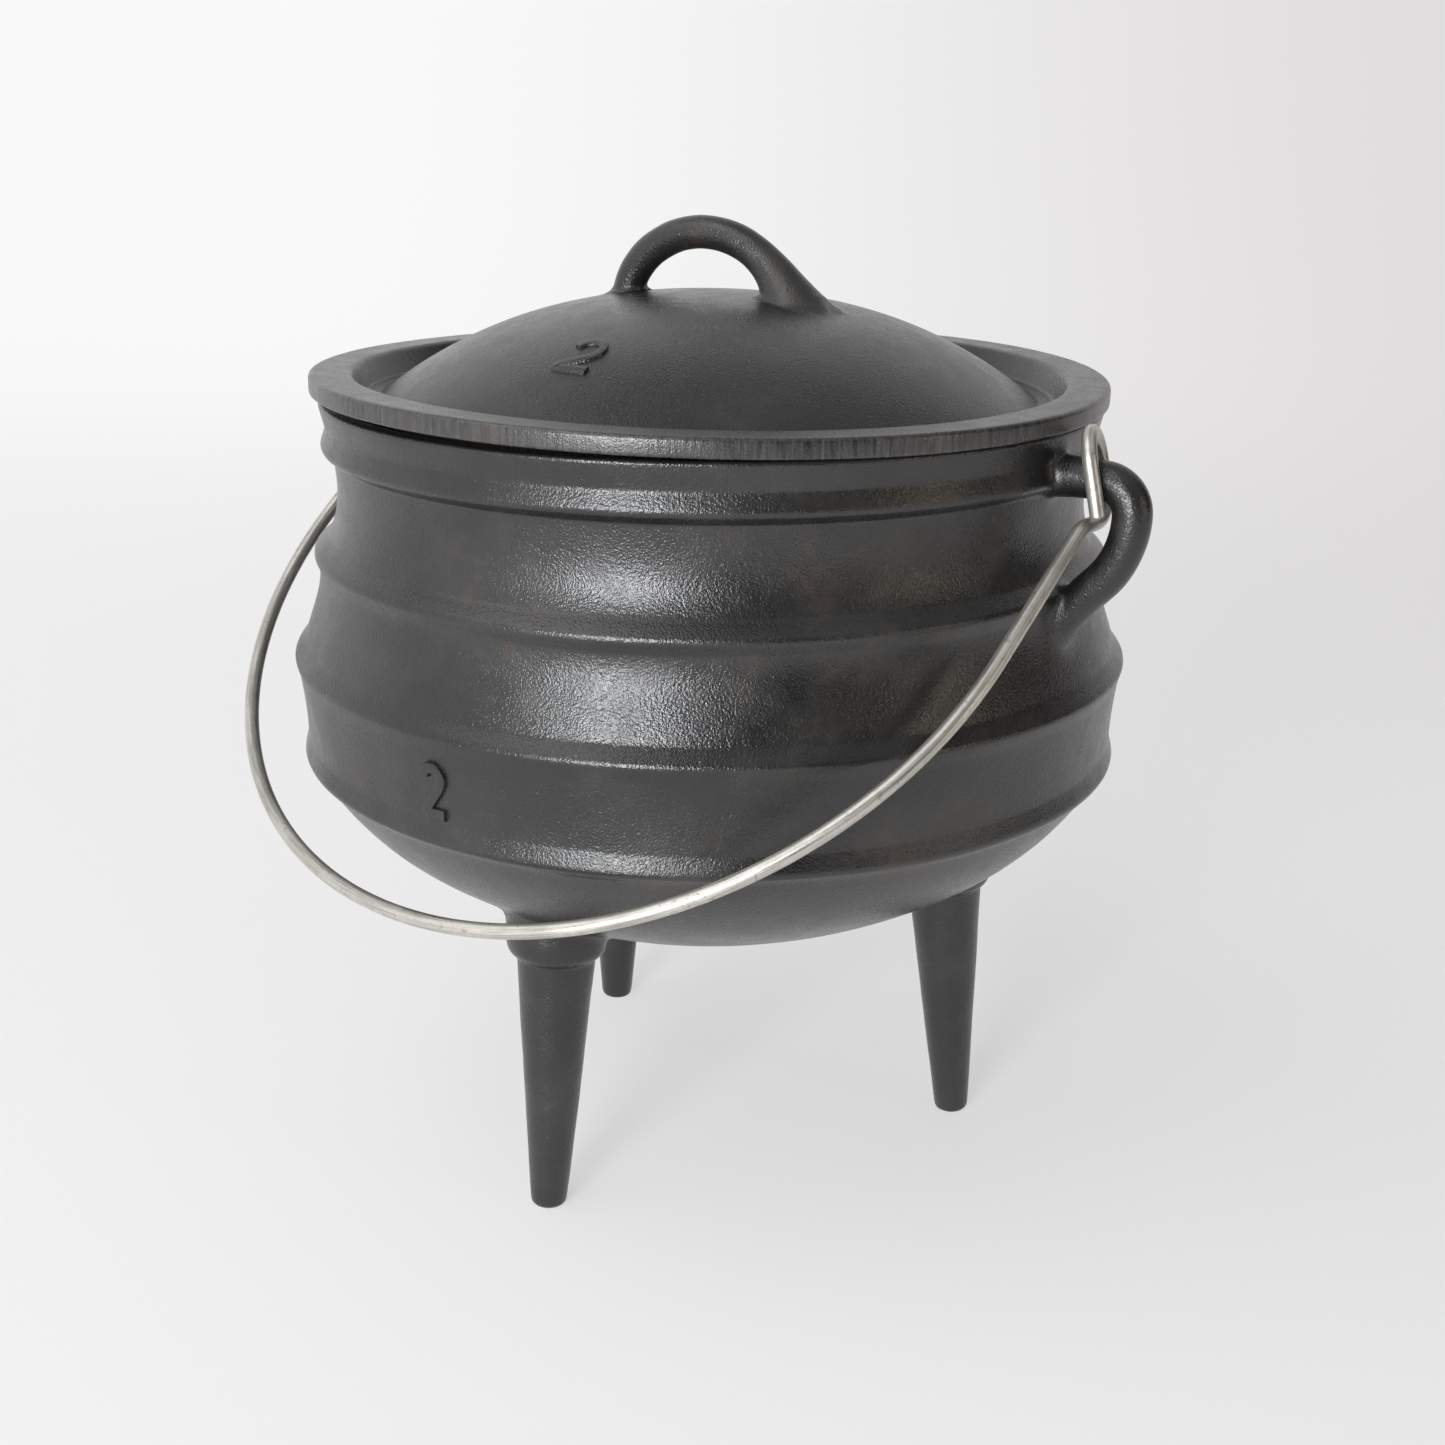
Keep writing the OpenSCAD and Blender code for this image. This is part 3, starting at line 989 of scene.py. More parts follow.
def merged(name: str, meshes: Iterable[bpy.types.Mesh]) -> bpy.types.Mesh:
    """Puts several meshes in one.

    Args:
        name: The new mesh's name.
        meshes: The meshes, which are removed.

    Returns:
        The mesh that holds them all.
    """
    work = bmesh.new()
    for mesh in meshes:
        work.from_mesh(mesh)
        bpy.data.meshes.remove(mesh)
    made = bpy.data.meshes.new(name)
    work.to_mesh(made)
    work.free()
    return made


class Workshop:
    """The geometry node trees that the pieces share."""

    FILLET_PASSES = 10

    def __init__(self) -> None:
        """Builds each tree once."""
        self.lathe = Lathe()
        self.tube = Tube()
        self.ring = Ring()
        self.casting = Casting()

    def turned(
        self, name: str, section: Outline, segments: int, waves: Waves = Waves()
    ) -> bpy.types.Mesh:
        """Turns a half section into a solid.

        Args:
            name: The solid's name.
            section: Its half section.
            segments: How many segments it has round its axis.
            waves: The waves of its skin.

        Returns:
            The solid's mesh.
        """
        start = section.mesh(f"{name}_section")
        return self.lathe.make(name, start, {"Segments": segments, **waves.inputs()})

    def swept(
        self,
        name: str,
        path: Sequence[Vector],
        thickness: Sequence[float],
        sides: int,
        waves: Waves,
        **others: Any,
    ) -> bpy.types.Mesh:
        """Runs a round bar along a path.

        Args:
            name: The bar's name.
            path: Its centreline.
            thickness: Its thickness at each point.
            sides: How many sides it has.
            waves: The waves of its skin.
            **others: The tree's other inputs.

        Returns:
            The bar's mesh.
        """
        start = line_mesh(f"{name}_path", path, thickness)
        return self.tube.make(name, start, {"Sides": sides, **waves.inputs(), **others})

    def cast(
        self,
        name: str,
        solid: bpy.types.Mesh,
        grown: bpy.types.Mesh,
        core: bpy.types.Mesh,
        reach: float,
        iron: bpy.types.Material,
    ) -> bpy.types.Mesh:
        """Casts a solid and its additions in one.

        Args:
            name: The casting's name.
            solid: The main solid.
            grown: What grows out of it.
            core: The space inside, in which no addition shows.
            reach: How far the fillet reaches from each joint, in millimetres.
            iron: The casting's material.

        Returns:
            The casting's mesh.
        """
        helpers = {
            label: linked(mesh.name, sharpened(mesh, SMOOTH_ALL_OVER))
            for label, mesh in (("Additions", grown), ("Core", core))
        }
        sizes = {"Reach": reach * MM, "Passes": self.FILLET_PASSES}
        start = sharpened(solid, SMOOTH_ALL_OVER)
        made = self.casting.make(name, start, {**helpers, **sizes, "Material": iron})
        for helper in helpers.values():
            bpy.data.objects.remove(helper)
        return made


# Finishes.


@dataclass(frozen=True)
class CastIron:
    """Cast iron with the fine pebbles of its sand mould under a thin burnt-on oil film."""

    name: str
    dark: Colour = (0.011, 0.0105, 0.0105, 1)
    pale: Colour = (0.022, 0.021, 0.020, 1)
    rust: Colour = (0.060, 0.036, 0.024, 1)
    rust_share: float = 0.30
    smooth: float = 0.24
    rough: float = 0.33
    sheen_index: float = 1.62
    cloud: float = 34
    patch: float = 7
    patch_depth: float = 0.15
    patch_strength: float = 0.20
    pebble: float = 0.60
    grit: float = 0.34
    pit_spacing: float = 4.5
    pit_edge: Pair = (0.04, 0.14)
    depth: float = 0.25
    tone_range: Pair = (0.38, 0.66)
    rust_range: Pair = (0.28, 0.42)
    film_range: Pair = (0.36, 0.64)
    ground_rim: Pair | None = None
    ground_tone: Colour = (0.16, 0.15, 0.15, 1)
    mark_width: float = 0.9
    mark_stretch: float = 0.09
    seed: float = 0.0

    def _ground(self, g: Graph, where: Signal) -> tuple[Signal, Signal]:
        """Finds the outer face of a rim that was ground smooth, and the marks left on it.

        Args:
            g: The material's tree.
            where: The object coordinates.

        Returns:
            Where the rim is ground, and its upright grinding marks.
        """
        inner, outer = self.ground_rim
        flat = where * (1.0, 1.0, 0.0)
        radius = g.signal("ShaderNodeVectorMath", {"operation": "LENGTH"}, {0: flat}, "Value")
        mask = radius.between(inner * MM, outer * MM)
        upright = where * (1.0, 1.0, self.mark_stretch)
        return mask, g.noise(upright, self.mark_width * MM, 2.0, 0.6, self.seed + 21)

    def material(self) -> bpy.types.Material:
        """Builds the material.

        Returns:
            The material, on object coordinates.
        """
        made = bpy.data.materials.new(self.name)
        g = fresh_graph(made)
        where = g.signal("ShaderNodeTexCoord", output="Object")
        cloud = g.noise(where, self.cloud * MM, 4.0, 0.6, self.seed)
        patch = g.noise(where, self.patch * MM, 3.0, 0.6, self.seed + 3)
        pebble = g.noise(where, self.pebble * MM, 1.0, 0.5, self.seed + 7)
        grit = g.noise(where, self.grit * MM, 1.0, 0.5, self.seed + 9)
        pits = g.signal(
            "ShaderNodeTexVoronoi",
            {"feature": "F1", "voronoi_dimensions": "3D"},
            {"Vector": where, "Scale": 1 / (self.pit_spacing * MM), "Randomness": 1.0},
            "Distance",
        )
        pit = 1.0 - pits.between(*self.pit_edge)
        grain = pebble * 0.70 + grit * 0.25 - pit * 0.25
        tone = g.blend(cloud.between(*self.tone_range), self.dark, self.pale)
        rusted = (patch * cloud).between(*self.rust_range) * self.rust_share
        colour = g.blend(rusted, tone, self.rust)
        film = (cloud * 0.4 + patch * 0.6).between(*self.film_range)
        roughness = film * (self.rough - self.smooth) + self.smooth
        if self.ground_rim:
            ground, marks = self._ground(g, where)
            colour = g.blend(ground * (marks - 0.35) * 0.9, colour, self.ground_tone)
            grain = grain * (1.0 - ground * 0.45) + ground * marks * 0.35
        broad = g.bump(patch, self.patch_depth, self.patch_strength)
        dressed = {
            "Base Color": colour,
            "Roughness": roughness,
            "IOR": self.sheen_index,
            "Normal": g.bump(grain, self.depth, 1.0, Normal=broad),
        }
        shader = g.signal("ShaderNodeBsdfPrincipled", inputs=dressed)
        g.node("ShaderNodeOutputMaterial", inputs={"Surface": shader})
        return made


@dataclass(frozen=True)
class DrawnWire:
    """Drawn steel wire with a dull zinc coat, streaked along its length."""

    name: str
    pale: Colour = (0.62, 0.60, 0.55, 1)
    dull: Colour = (0.40, 0.38, 0.34, 1)
    stain: Colour = (0.20, 0.17, 0.14, 1)
    stain_share: float = 0.55
    metallic: float = 0.8
    smooth: float = 0.26
    rough: float = 0.44
    streak_rate: float = 12.0
    cloud: float = 14
    speck: float = 1.3
    depth: float = 0.12
    strength: float = 0.35
    tone_range: Pair = (0.38, 0.62)
    stain_range: Pair = (0.56, 0.66)
    streak_range: Pair = (0.3, 0.7)

    def material(self) -> bpy.types.Material:
        """Builds the material.

        Returns:
            The material, on the wire's own attributes and on object coordinates.
        """
        made = bpy.data.materials.new(self.name)
        g = fresh_graph(made)
        along, around = (
            g.signal("ShaderNodeAttribute", {"attribute_name": name}, output="Fac")
            for name in ("along", "around")
        )
        turn = around * math.tau
        unrolled = g.signal(
            "ShaderNodeCombineXYZ",
            inputs={"X": along * self.streak_rate, "Y": turn.cos(), "Z": turn.sin()},
        )
        streak = g.noise(unrolled, 0.22, 3.0, 0.6)
        fine = g.noise(unrolled, 0.06, 1.0, 0.5, 5)
        where = g.signal("ShaderNodeTexCoord", output="Object")
        cloud = g.noise(where, self.cloud * MM, 4.0, 0.6)
        speck = g.noise(where, self.speck * MM, 2.0, 0.6, 2)
        tone = (streak * 0.6 + cloud * 0.4).between(*self.tone_range)
        worn = (speck * 0.6 + cloud * 0.4).between(*self.stain_range) * self.stain_share
        polish = streak.between(*self.streak_range)
        dressed = {
            "Base Color": g.blend(worn, g.blend(tone, self.dull, self.pale), self.stain),
            "Metallic": self.metallic,
            "Roughness": polish * (self.rough - self.smooth) + self.smooth,
            "Normal": g.bump(fine * 0.5 + speck * 0.5, self.depth, self.strength),
        }
        shader = g.signal("ShaderNodeBsdfPrincipled", inputs=dressed)
        g.node("ShaderNodeOutputMaterial", inputs={"Surface": shader})
        return made


# The pot.


@dataclass
class PotWall:
    """The turned wall of the pot: bowl, knuckle, three staves, four beads and the brim."""

    ground_clearance: float = 75
    bowl_depth: float = 62.1
    bowl_flatten: float = 0.0836
    knuckle_r: float = 83
    crease_r: float = 127
    wall: float = 4.6
    brim_r: float = 120.7
    brim_w: float = 5.4
    brim_edge_r: float = 1.2
    collar_r: float = 119
    neck: Pair = (117, 119.7)
    neck_hollow: Pair = (1.8, 3.4)
    shoulder: Pair = (122.9, 128.6)
    shoulder_hollow: Pair = (2.5, 0.5)
    belly: Pair = (130.9, 129.2)
    belly_hollow: Pair = (0.55, 0.55)
    pitches: tuple[float, float, float, float] = (30.4, 32, 33.4, 13.3)
    bead_radii: tuple[float, float, float, float] = (130.5, 131.9, 124.3, 120.6)
    nose_r: float = 2.5
    flank: float = 5.1
    under: float = 3.7
    bend_steps: int = 30
    core_rise: float = 9

    def heights(self) -> list[float]:
        """Adds up the heights of the four beads and of the brim.

        Returns:
            The heights, from the lowest up.
        """
        heights = [self.ground_clearance + self.bowl_depth]
        for pitch in self.pitches:
            heights.append(heights[-1] + pitch)
        return heights

    def crease(self) -> Pair:
        """Gives the crease under the lowest bead."""
        return self.crease_r, self.heights()[0] - self.under

    def bowl_r(self) -> float:
        """Works out the curve across the bottom, which is flatter than a plain bowl.

        Returns:
            Its radius.
        """
        radius, height = self.crease()
        rise = height - self.ground_clearance
        return (1 + self.bowl_flatten) * (radius**2 + rise**2) / (2 * rise)

    def bowl_centre(self) -> Pair:
        """Gives the centre of the curve across the bottom."""
        return 0.0, self.ground_clearance + self.bowl_r()

    def knuckle_centre(self) -> Pair:
        """Places the knuckle, which meets the crease and touches the bottom's curve.

        Returns:
            Its centre.
        """
        centre, crease = self.bowl_centre(), self.crease()
        gap = self.bowl_r() - self.knuckle_r
        run = math.dist(centre, crease)
        u = ((crease[0] - centre[0]) / run, (crease[1] - centre[1]) / run)
        along = (run**2 + gap**2 - self.knuckle_r**2) / (2 * run)
        across = math.sqrt(gap**2 - along**2)
        return (
            centre[0] + u[0] * along + u[1] * across,
            centre[1] + u[1] * along - u[0] * across,
        )

    def bowl_turn(self) -> float:
        """Gives the angle from the axis at which the bottom turns into the knuckle."""
        centre, knuckle = self.bowl_centre(), self.knuckle_centre()
        return math.degrees(math.atan2(knuckle[0], centre[1] - knuckle[1]))

    def join(self) -> float:
        """Gives the height at which the bottom turns into the knuckle."""
        return polar(self.bowl_centre(), self.bowl_r(), self.bowl_turn() - 90)[1]

    def _staves(self) -> list[Outline]:
        """Draws the three hollow walls between the beads.

        Returns:
            Their outlines, from the neck down.
        """
        low, belly, shoulder, neck, _ = self.heights()
        spans = (
            (neck, shoulder, self.neck, self.neck_hollow),
            (shoulder, belly, self.shoulder, self.shoulder_hollow),
            (belly, low, self.belly, self.belly_hollow),
        )
        staves = []
        for upper, lower, radii, hollow in spans:
            top, base = (radii[0], upper - self.under), (radii[1], lower + self.flank)
            first, second = mixed(top, base, 1 / 3), mixed(top, base, 2 / 3)
            first = (first[0] - hollow[0], first[1])
            second = (second[0] - hollow[1], second[1])
            staves.append(Outline().curve(top, first, second, base, 16))
        return staves

    def _knuckle(self) -> Outline:
        """Draws the knuckle from under the lowest bead down to the bottom.

        Returns:
            Its outline.
        """
        centre = self.knuckle_centre()
        top = math.degrees(math.asin((self.crease()[1] - centre[1]) / self.knuckle_r))
        return Outline().arc(centre, self.knuckle_r, top, self.bowl_turn() - 90, self.bend_steps)

    def _bowl(self) -> Outline:
        """Draws the bottom from the knuckle in to the axis."""
        turn = self.bowl_turn() - 90
        return Outline().arc(self.bowl_centre(), self.bowl_r(), turn, -90, self.bend_steps)

    def _bead(
        self, outline: Outline, height: float, nose: float, above: float, below: float
    ) -> None:
        """Draws one bead: its sloping flank, its nose and the crease under it.

        Args:
            outline: The outline that it is added to.
            height: The height of its nose.
            nose: The distance of its nose from the axis.
            above: The distance of the wall above it from the axis.
            below: The distance of the wall below it from the axis.
        """
        centre = (nose - self.nose_r, height)
        top, foot = (above, height + self.flank), (below, height - self.under)
        start, stop = (
            touch(point, centre, self.nose_r, side) for point, side in ((top, -1), (foot, 1))
        )
        outline.to(top).arc(centre, self.nose_r, start, stop, 12).to(foot)

    def outside(self) -> Outline:
        """Draws the outside from the brim down to the middle of the bottom.

        Returns:
            The outline, with a casting's rounded corners.
        """
        *beads, brim = self.heights()
        staves = self._staves()
        knuckle = self._knuckle()
        edge = self.brim_edge_r
        above = (self.collar_r, self.neck[1], self.shoulder[1], self.belly[1])
        below = (self.neck[0], self.shoulder[0], self.belly[0], knuckle.points[0][0])
        drawn = Outline().to((self.brim_r - self.brim_w / 2, brim))
        drawn.arc((self.brim_r - edge, brim - edge), edge, 90, 0, 8)
        rows = zip(beads[::-1], self.bead_radii[::-1], above, below, [*staves, knuckle])
        for height, nose, over, under, wall in rows:
            self._bead(drawn, height, nose, over, under)
            drawn.to(*wall.points[1:-1])
        drawn.to(*self._bowl().points)
        return drawn.eased()

    def inside(self, depth: float) -> Outline:
        """Draws the smooth surface at a depth under the outside, from the collar to the bottom.

        Args:
            depth: How deep under the outside it lies.

        Returns:
            The outline.
        """
        plain = Outline().to((self.collar_r, self.heights()[-2]))
        for stave in self._staves():
            plain.to(*stave.points[3:-3:2])
        plain.to(*self._knuckle().points[2::2]).to(*self._bowl().points[1::2])
        moved = plain.moved_in(depth).points
        return Outline([*moved[1:-1], (0.0, self.ground_clearance + depth)]).eased(1.5, 12)

    def section(self) -> Outline:
        """Draws the whole wall, from the middle of the bottom up and down again on the inside.

        Returns:
            Its closed half section.
        """
        brim = self.heights()[-1]
        edge = self.brim_edge_r
        mouth = self.brim_r - self.brim_w
        up = self.outside().thinned(0.012, 3.4).points[::-1]
        lip = Outline().arc((mouth + edge, brim - edge), edge, 90, 180, 5)
        down = self.inside(self.wall).thinned(0.02, 9.0).points
        return Outline([*up, *lip.points, *down])

    def core(self) -> Outline:
        """Draws the space within the middle of the wall, where no leg or ear may show.

        Returns:
            Its half section.
        """
        brim = self.heights()[-1]
        inner = self.inside(self.wall / 2).thinned(0.05, 9.0).points
        top = brim + self.core_rise
        return Outline([(0.0, top), (inner[0][0], top), *inner])


@dataclass
class Legs:
    """The tapered legs with their collars."""

    count: int = 3
    circle_r: float = 85.9
    lean: float = 4.2
    foot_r: float = 5.7
    foot_edge_r: float = 2.2
    top_r: float = 12.1
    collar_drop: float = 22.3
    collar_r: float = 15.8
    collar_turn: float = 8
    sunk: float = 7
    past_ground: float = 0.6
    sides: int = 60
    waves: Waves = Waves(0.5, 16, 4.0)

    def outline(self, join: float) -> Outline:
        """Draws half of a leg.

        Args:
            join: The height at which the bowl turns into its knuckle.

        Returns:
            The outline, from the ground up.
        """
        base = -self.past_ground
        collar = join - self.collar_drop
        edge, turn = self.foot_edge_r, self.collar_turn
        foot, top = (self.foot_r, base), (self.top_r, collar)
        drawn = Outline().to((0, base))
        drawn.arc((self.foot_r - edge, base + edge), edge, -90, 0, 8)
        start = (self.foot_r + 0.1, base + edge + 1)
        drawn.curve(start, mixed(foot, top, 1 / 3), mixed(foot, top, 2 / 3), top, 24)
        out, waist = (self.collar_r, collar + turn / 4), (self.collar_r - 0.6, collar + turn / 2)
        drawn.curve(top, out, waist, (self.collar_r, collar + turn), 10)
        return drawn.to((self.collar_r, join + self.sunk), (0, join + self.sunk))

    def mesh(self, shop: Workshop, join: float) -> bpy.types.Mesh:
        """Makes the legs.

        Args:
            shop: The shared trees.
            join: The height at which the bowl turns into its knuckle.

        Returns:
            All the legs, standing flat on the ground.
        """
        outline = self.outline(join).eased(0.5, 3).thinned(0.01, 2.2)
        leg = shop.turned("leg", outline, self.sides, self.waves)
        place = (
            Matrix.Rotation(-math.pi / 2, 4, "Z")
            @ Matrix.Translation((self.circle_r * MM, 0, 0))
            @ Matrix.Rotation(math.radians(-self.lean), 4, "Y")
        )
        leg.transform(place)
        for vertex in leg.vertices:
            vertex.co.z = max(vertex.co.z, 0.0)
        return shop.ring.make("legs", leg, {"Count": self.count})


@dataclass
class Ears:
    """The two ears that the bail hangs from."""

    rod_d: float = 11.1
    drop: float = 12.1
    reach: float = 142.2
    corner_r: float = 9
    sweep_r: float = 28.6
    sweep_angle: float = 44
    flare_d: float = 17.5
    flare_reach: float = 19
    flare_power: float = 2.6
    step: float = 1.2
    sides: int = 40
    waves: Waves = Waves(0.35, 14, 8.0)

    def path(self, wall: PotWall) -> list[Vector]:
        """Lays out the right ear's centreline, from its top root to its lower root.

        Args:
            wall: The pot's wall.

        Returns:
            The points of the centreline.
        """
        top = wall.heights()[-1] - self.drop
        bend = math.radians(self.sweep_angle)
        low = top - self.corner_r - self.sweep_r * math.tan(bend / 2)
        root = wall.shoulder[0] - wall.wall
        length = (self.reach - root) / math.sin(bend)
        corners = [
            Vector((wall.neck[0] - wall.wall, 0, top)),
            Vector((self.reach, 0, top)),
            Vector((self.reach, 0, low)),
            Vector((self.reach - math.sin(bend) * length, 0, low - math.cos(bend) * length)),
        ]
        bent = bent_path(corners, [self.corner_r, self.sweep_r], self.step)
        return filled_in(bent, self.step)

    def mesh(self, shop: Workshop, wall: PotWall) -> bpy.types.Mesh:
        """Makes both ears.

        Args:
            shop: The shared trees.
            wall: The pot's wall.

        Returns:
            The two ears, which reach into the wall.
        """
        path = self.path(wall)
        run = run_of(path)
        thickness = [
            self.rod_d
            + (self.flare_d - self.rod_d)
            * max(0.0, 1 - min(s, run[-1] - s) / self.flare_reach) ** self.flare_power
            for s in run
        ]
        right = shop.swept("ear", path, thickness, self.sides, self.waves)
        left = right.copy()
        left.transform(Matrix.Scale(-1, 4, (1, 0, 0)))
        left.flip_normals()
        return merged("ears", (right, left))


@dataclass
class Numeral:
    """A raised numeral 2, a size mark cast on a wall."""

    height: float = 17
    width: float = 9.5
    stroke: float = 3.3
    rise: float = 1.1
    root: float = 0.7
    softness: float = 0.4
    hook: Pair = (168, -22)
    sharp_edge: float = 35

    def centreline(self) -> list[Pair]:
        """Draws the numeral's centreline about its middle.

        Returns:
            The centreline's points, from the numeral's top end to its foot's end.
        """
        w, h = self.width - self.stroke, self.height - self.stroke
        radius = w / 2
        top = h / 2 - radius
        drawn = Outline().arc((0, top), radius, *self.hook, 22)
        bow, foot = drawn.points[-1], -h / 2
        leaving = (bow[0] - 0.10 * w, bow[1] - 0.16 * h)
        drawn.curve(bow, leaving, (-0.36 * w, -0.28 * h), (-w / 2, foot + 0.2), 16)
        corner, tip = (-w / 2 + 0.3, foot), (w / 2 + 0.6, foot)
        drawn.curve(corner, (-0.2 * w, foot), (0.2 * w, foot), tip, 10)
        return drawn.eased(0.5, 2).points

    def mesh(self, name: str, on_wall: Any) -> bpy.types.Mesh:
        """Makes the numeral on a wall.

        Args:
            name: The mesh's name.
            on_wall: Gives the place in millimetres for a point of the numeral and a height over
                the wall.

        Returns:
            The closed mesh.
        """
        line = self.centreline()
        half = self.stroke / 2
        soft = self.softness
        flank = (
            (-half, -self.root),
            (-half, self.rise - soft),
            (-half + soft * 0.5, self.rise - soft * 0.2),
            (-half + soft * 1.3, self.rise),
        )
        ring = (*flank, *((-side, rise) for side, rise in flank[::-1]))
        vertices: list[Vector] = []
        last = len(line) - 1
        for i, (x, y) in enumerate(line):
            before, after = line[max(i - 1, 0)], line[min(i + 1, last)]
            dx, dy = after[0] - before[0], after[1] - before[1]
            length = math.hypot(dx, dy) or 1.0
            for side, rise in ring:
                vertices.append(
                    on_wall(x - dy / length * side, y + dx / length * side, rise) * MM
                )
        n = len(ring)
        faces = [
            (i * n + k, i * n + (k + 1) % n, (i + 1) * n + (k + 1) % n, (i + 1) * n + k)
            for i in range(last)
            for k in range(n)
        ]
        faces += [tuple(range(n)), tuple(last * n + k for k in range(n))]
        made = bpy.data.meshes.new(name)
        made.from_pydata(vertices, [], faces)
        return sharpened(made, self.sharp_edge)


@dataclass
class PotCasting:
    """The pot in one casting: its wall, legs and ears, and the size mark at its front."""

    wall: PotWall = field(default_factory=PotWall)
    legs: Legs = field(default_factory=Legs)
    ears: Ears = field(default_factory=Ears)
    numeral: Numeral = field(default_factory=Numeral)
    segments: int = 288
    core_segments: int = 96
    waves: Waves = Waves(0.35, 26, 1.0)
    fillet: float = 4.5
    mark_height: float = 152

    def build(self, shop: Workshop, iron: bpy.types.Material) -> list[bpy.types.Object]:
        """Makes the casting and the size mark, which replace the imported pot.

        Args:
            shop: The shared trees.
            iron: The pot's material.

        Returns:
            The pieces.
        """
        shell = shop.turned("pot_wall", self.wall.section(), self.segments, self.waves)
        core = shop.turned("pot_core", self.wall.core(), self.core_segments)
        legs = self.legs.mesh(shop, self.wall.join())
        grown = merged("pot_additions", (legs, self.ears.mesh(shop, self.wall)))
        mesh = shop.cast("pot_casting", shell, grown, core, self.fillet, iron)
        casting = as_piece("pot_casting", sharpened(mesh, CAST_CREASE), Body.POT)
        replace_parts(casting, Part.POT.value)
        return [casting, self._mark(iron)]

    def _mark(self, iron: bpy.types.Material) -> bpy.types.Object:
        """Makes the size mark on the belly.

        Args:
            iron: The pot's material.

        Returns:
            The mark.
        """
        outside = self.wall.outside()

        def on_wall(x: float, y: float, rise: float) -> Vector:
            """Lays a point of the mark on the belly.

            Args:
                x: How far right of its middle the point lies.
                y: How far up it lies.
                rise: How far over the wall it lies.

            Returns:
                Its place, in millimetres.
            """
            height = self.mark_height + y
            radius = outside.radius_at(height)
            angle = math.radians(-90) + x / radius
            radius += rise
            return Vector((radius * math.cos(angle), radius * math.sin(angle), height))

        mesh = self.numeral.mesh("pot_size_mark", on_wall)
        mesh.materials.append(iron)
        return as_piece("pot_size_mark", mesh, Body.POT)


# The lid.


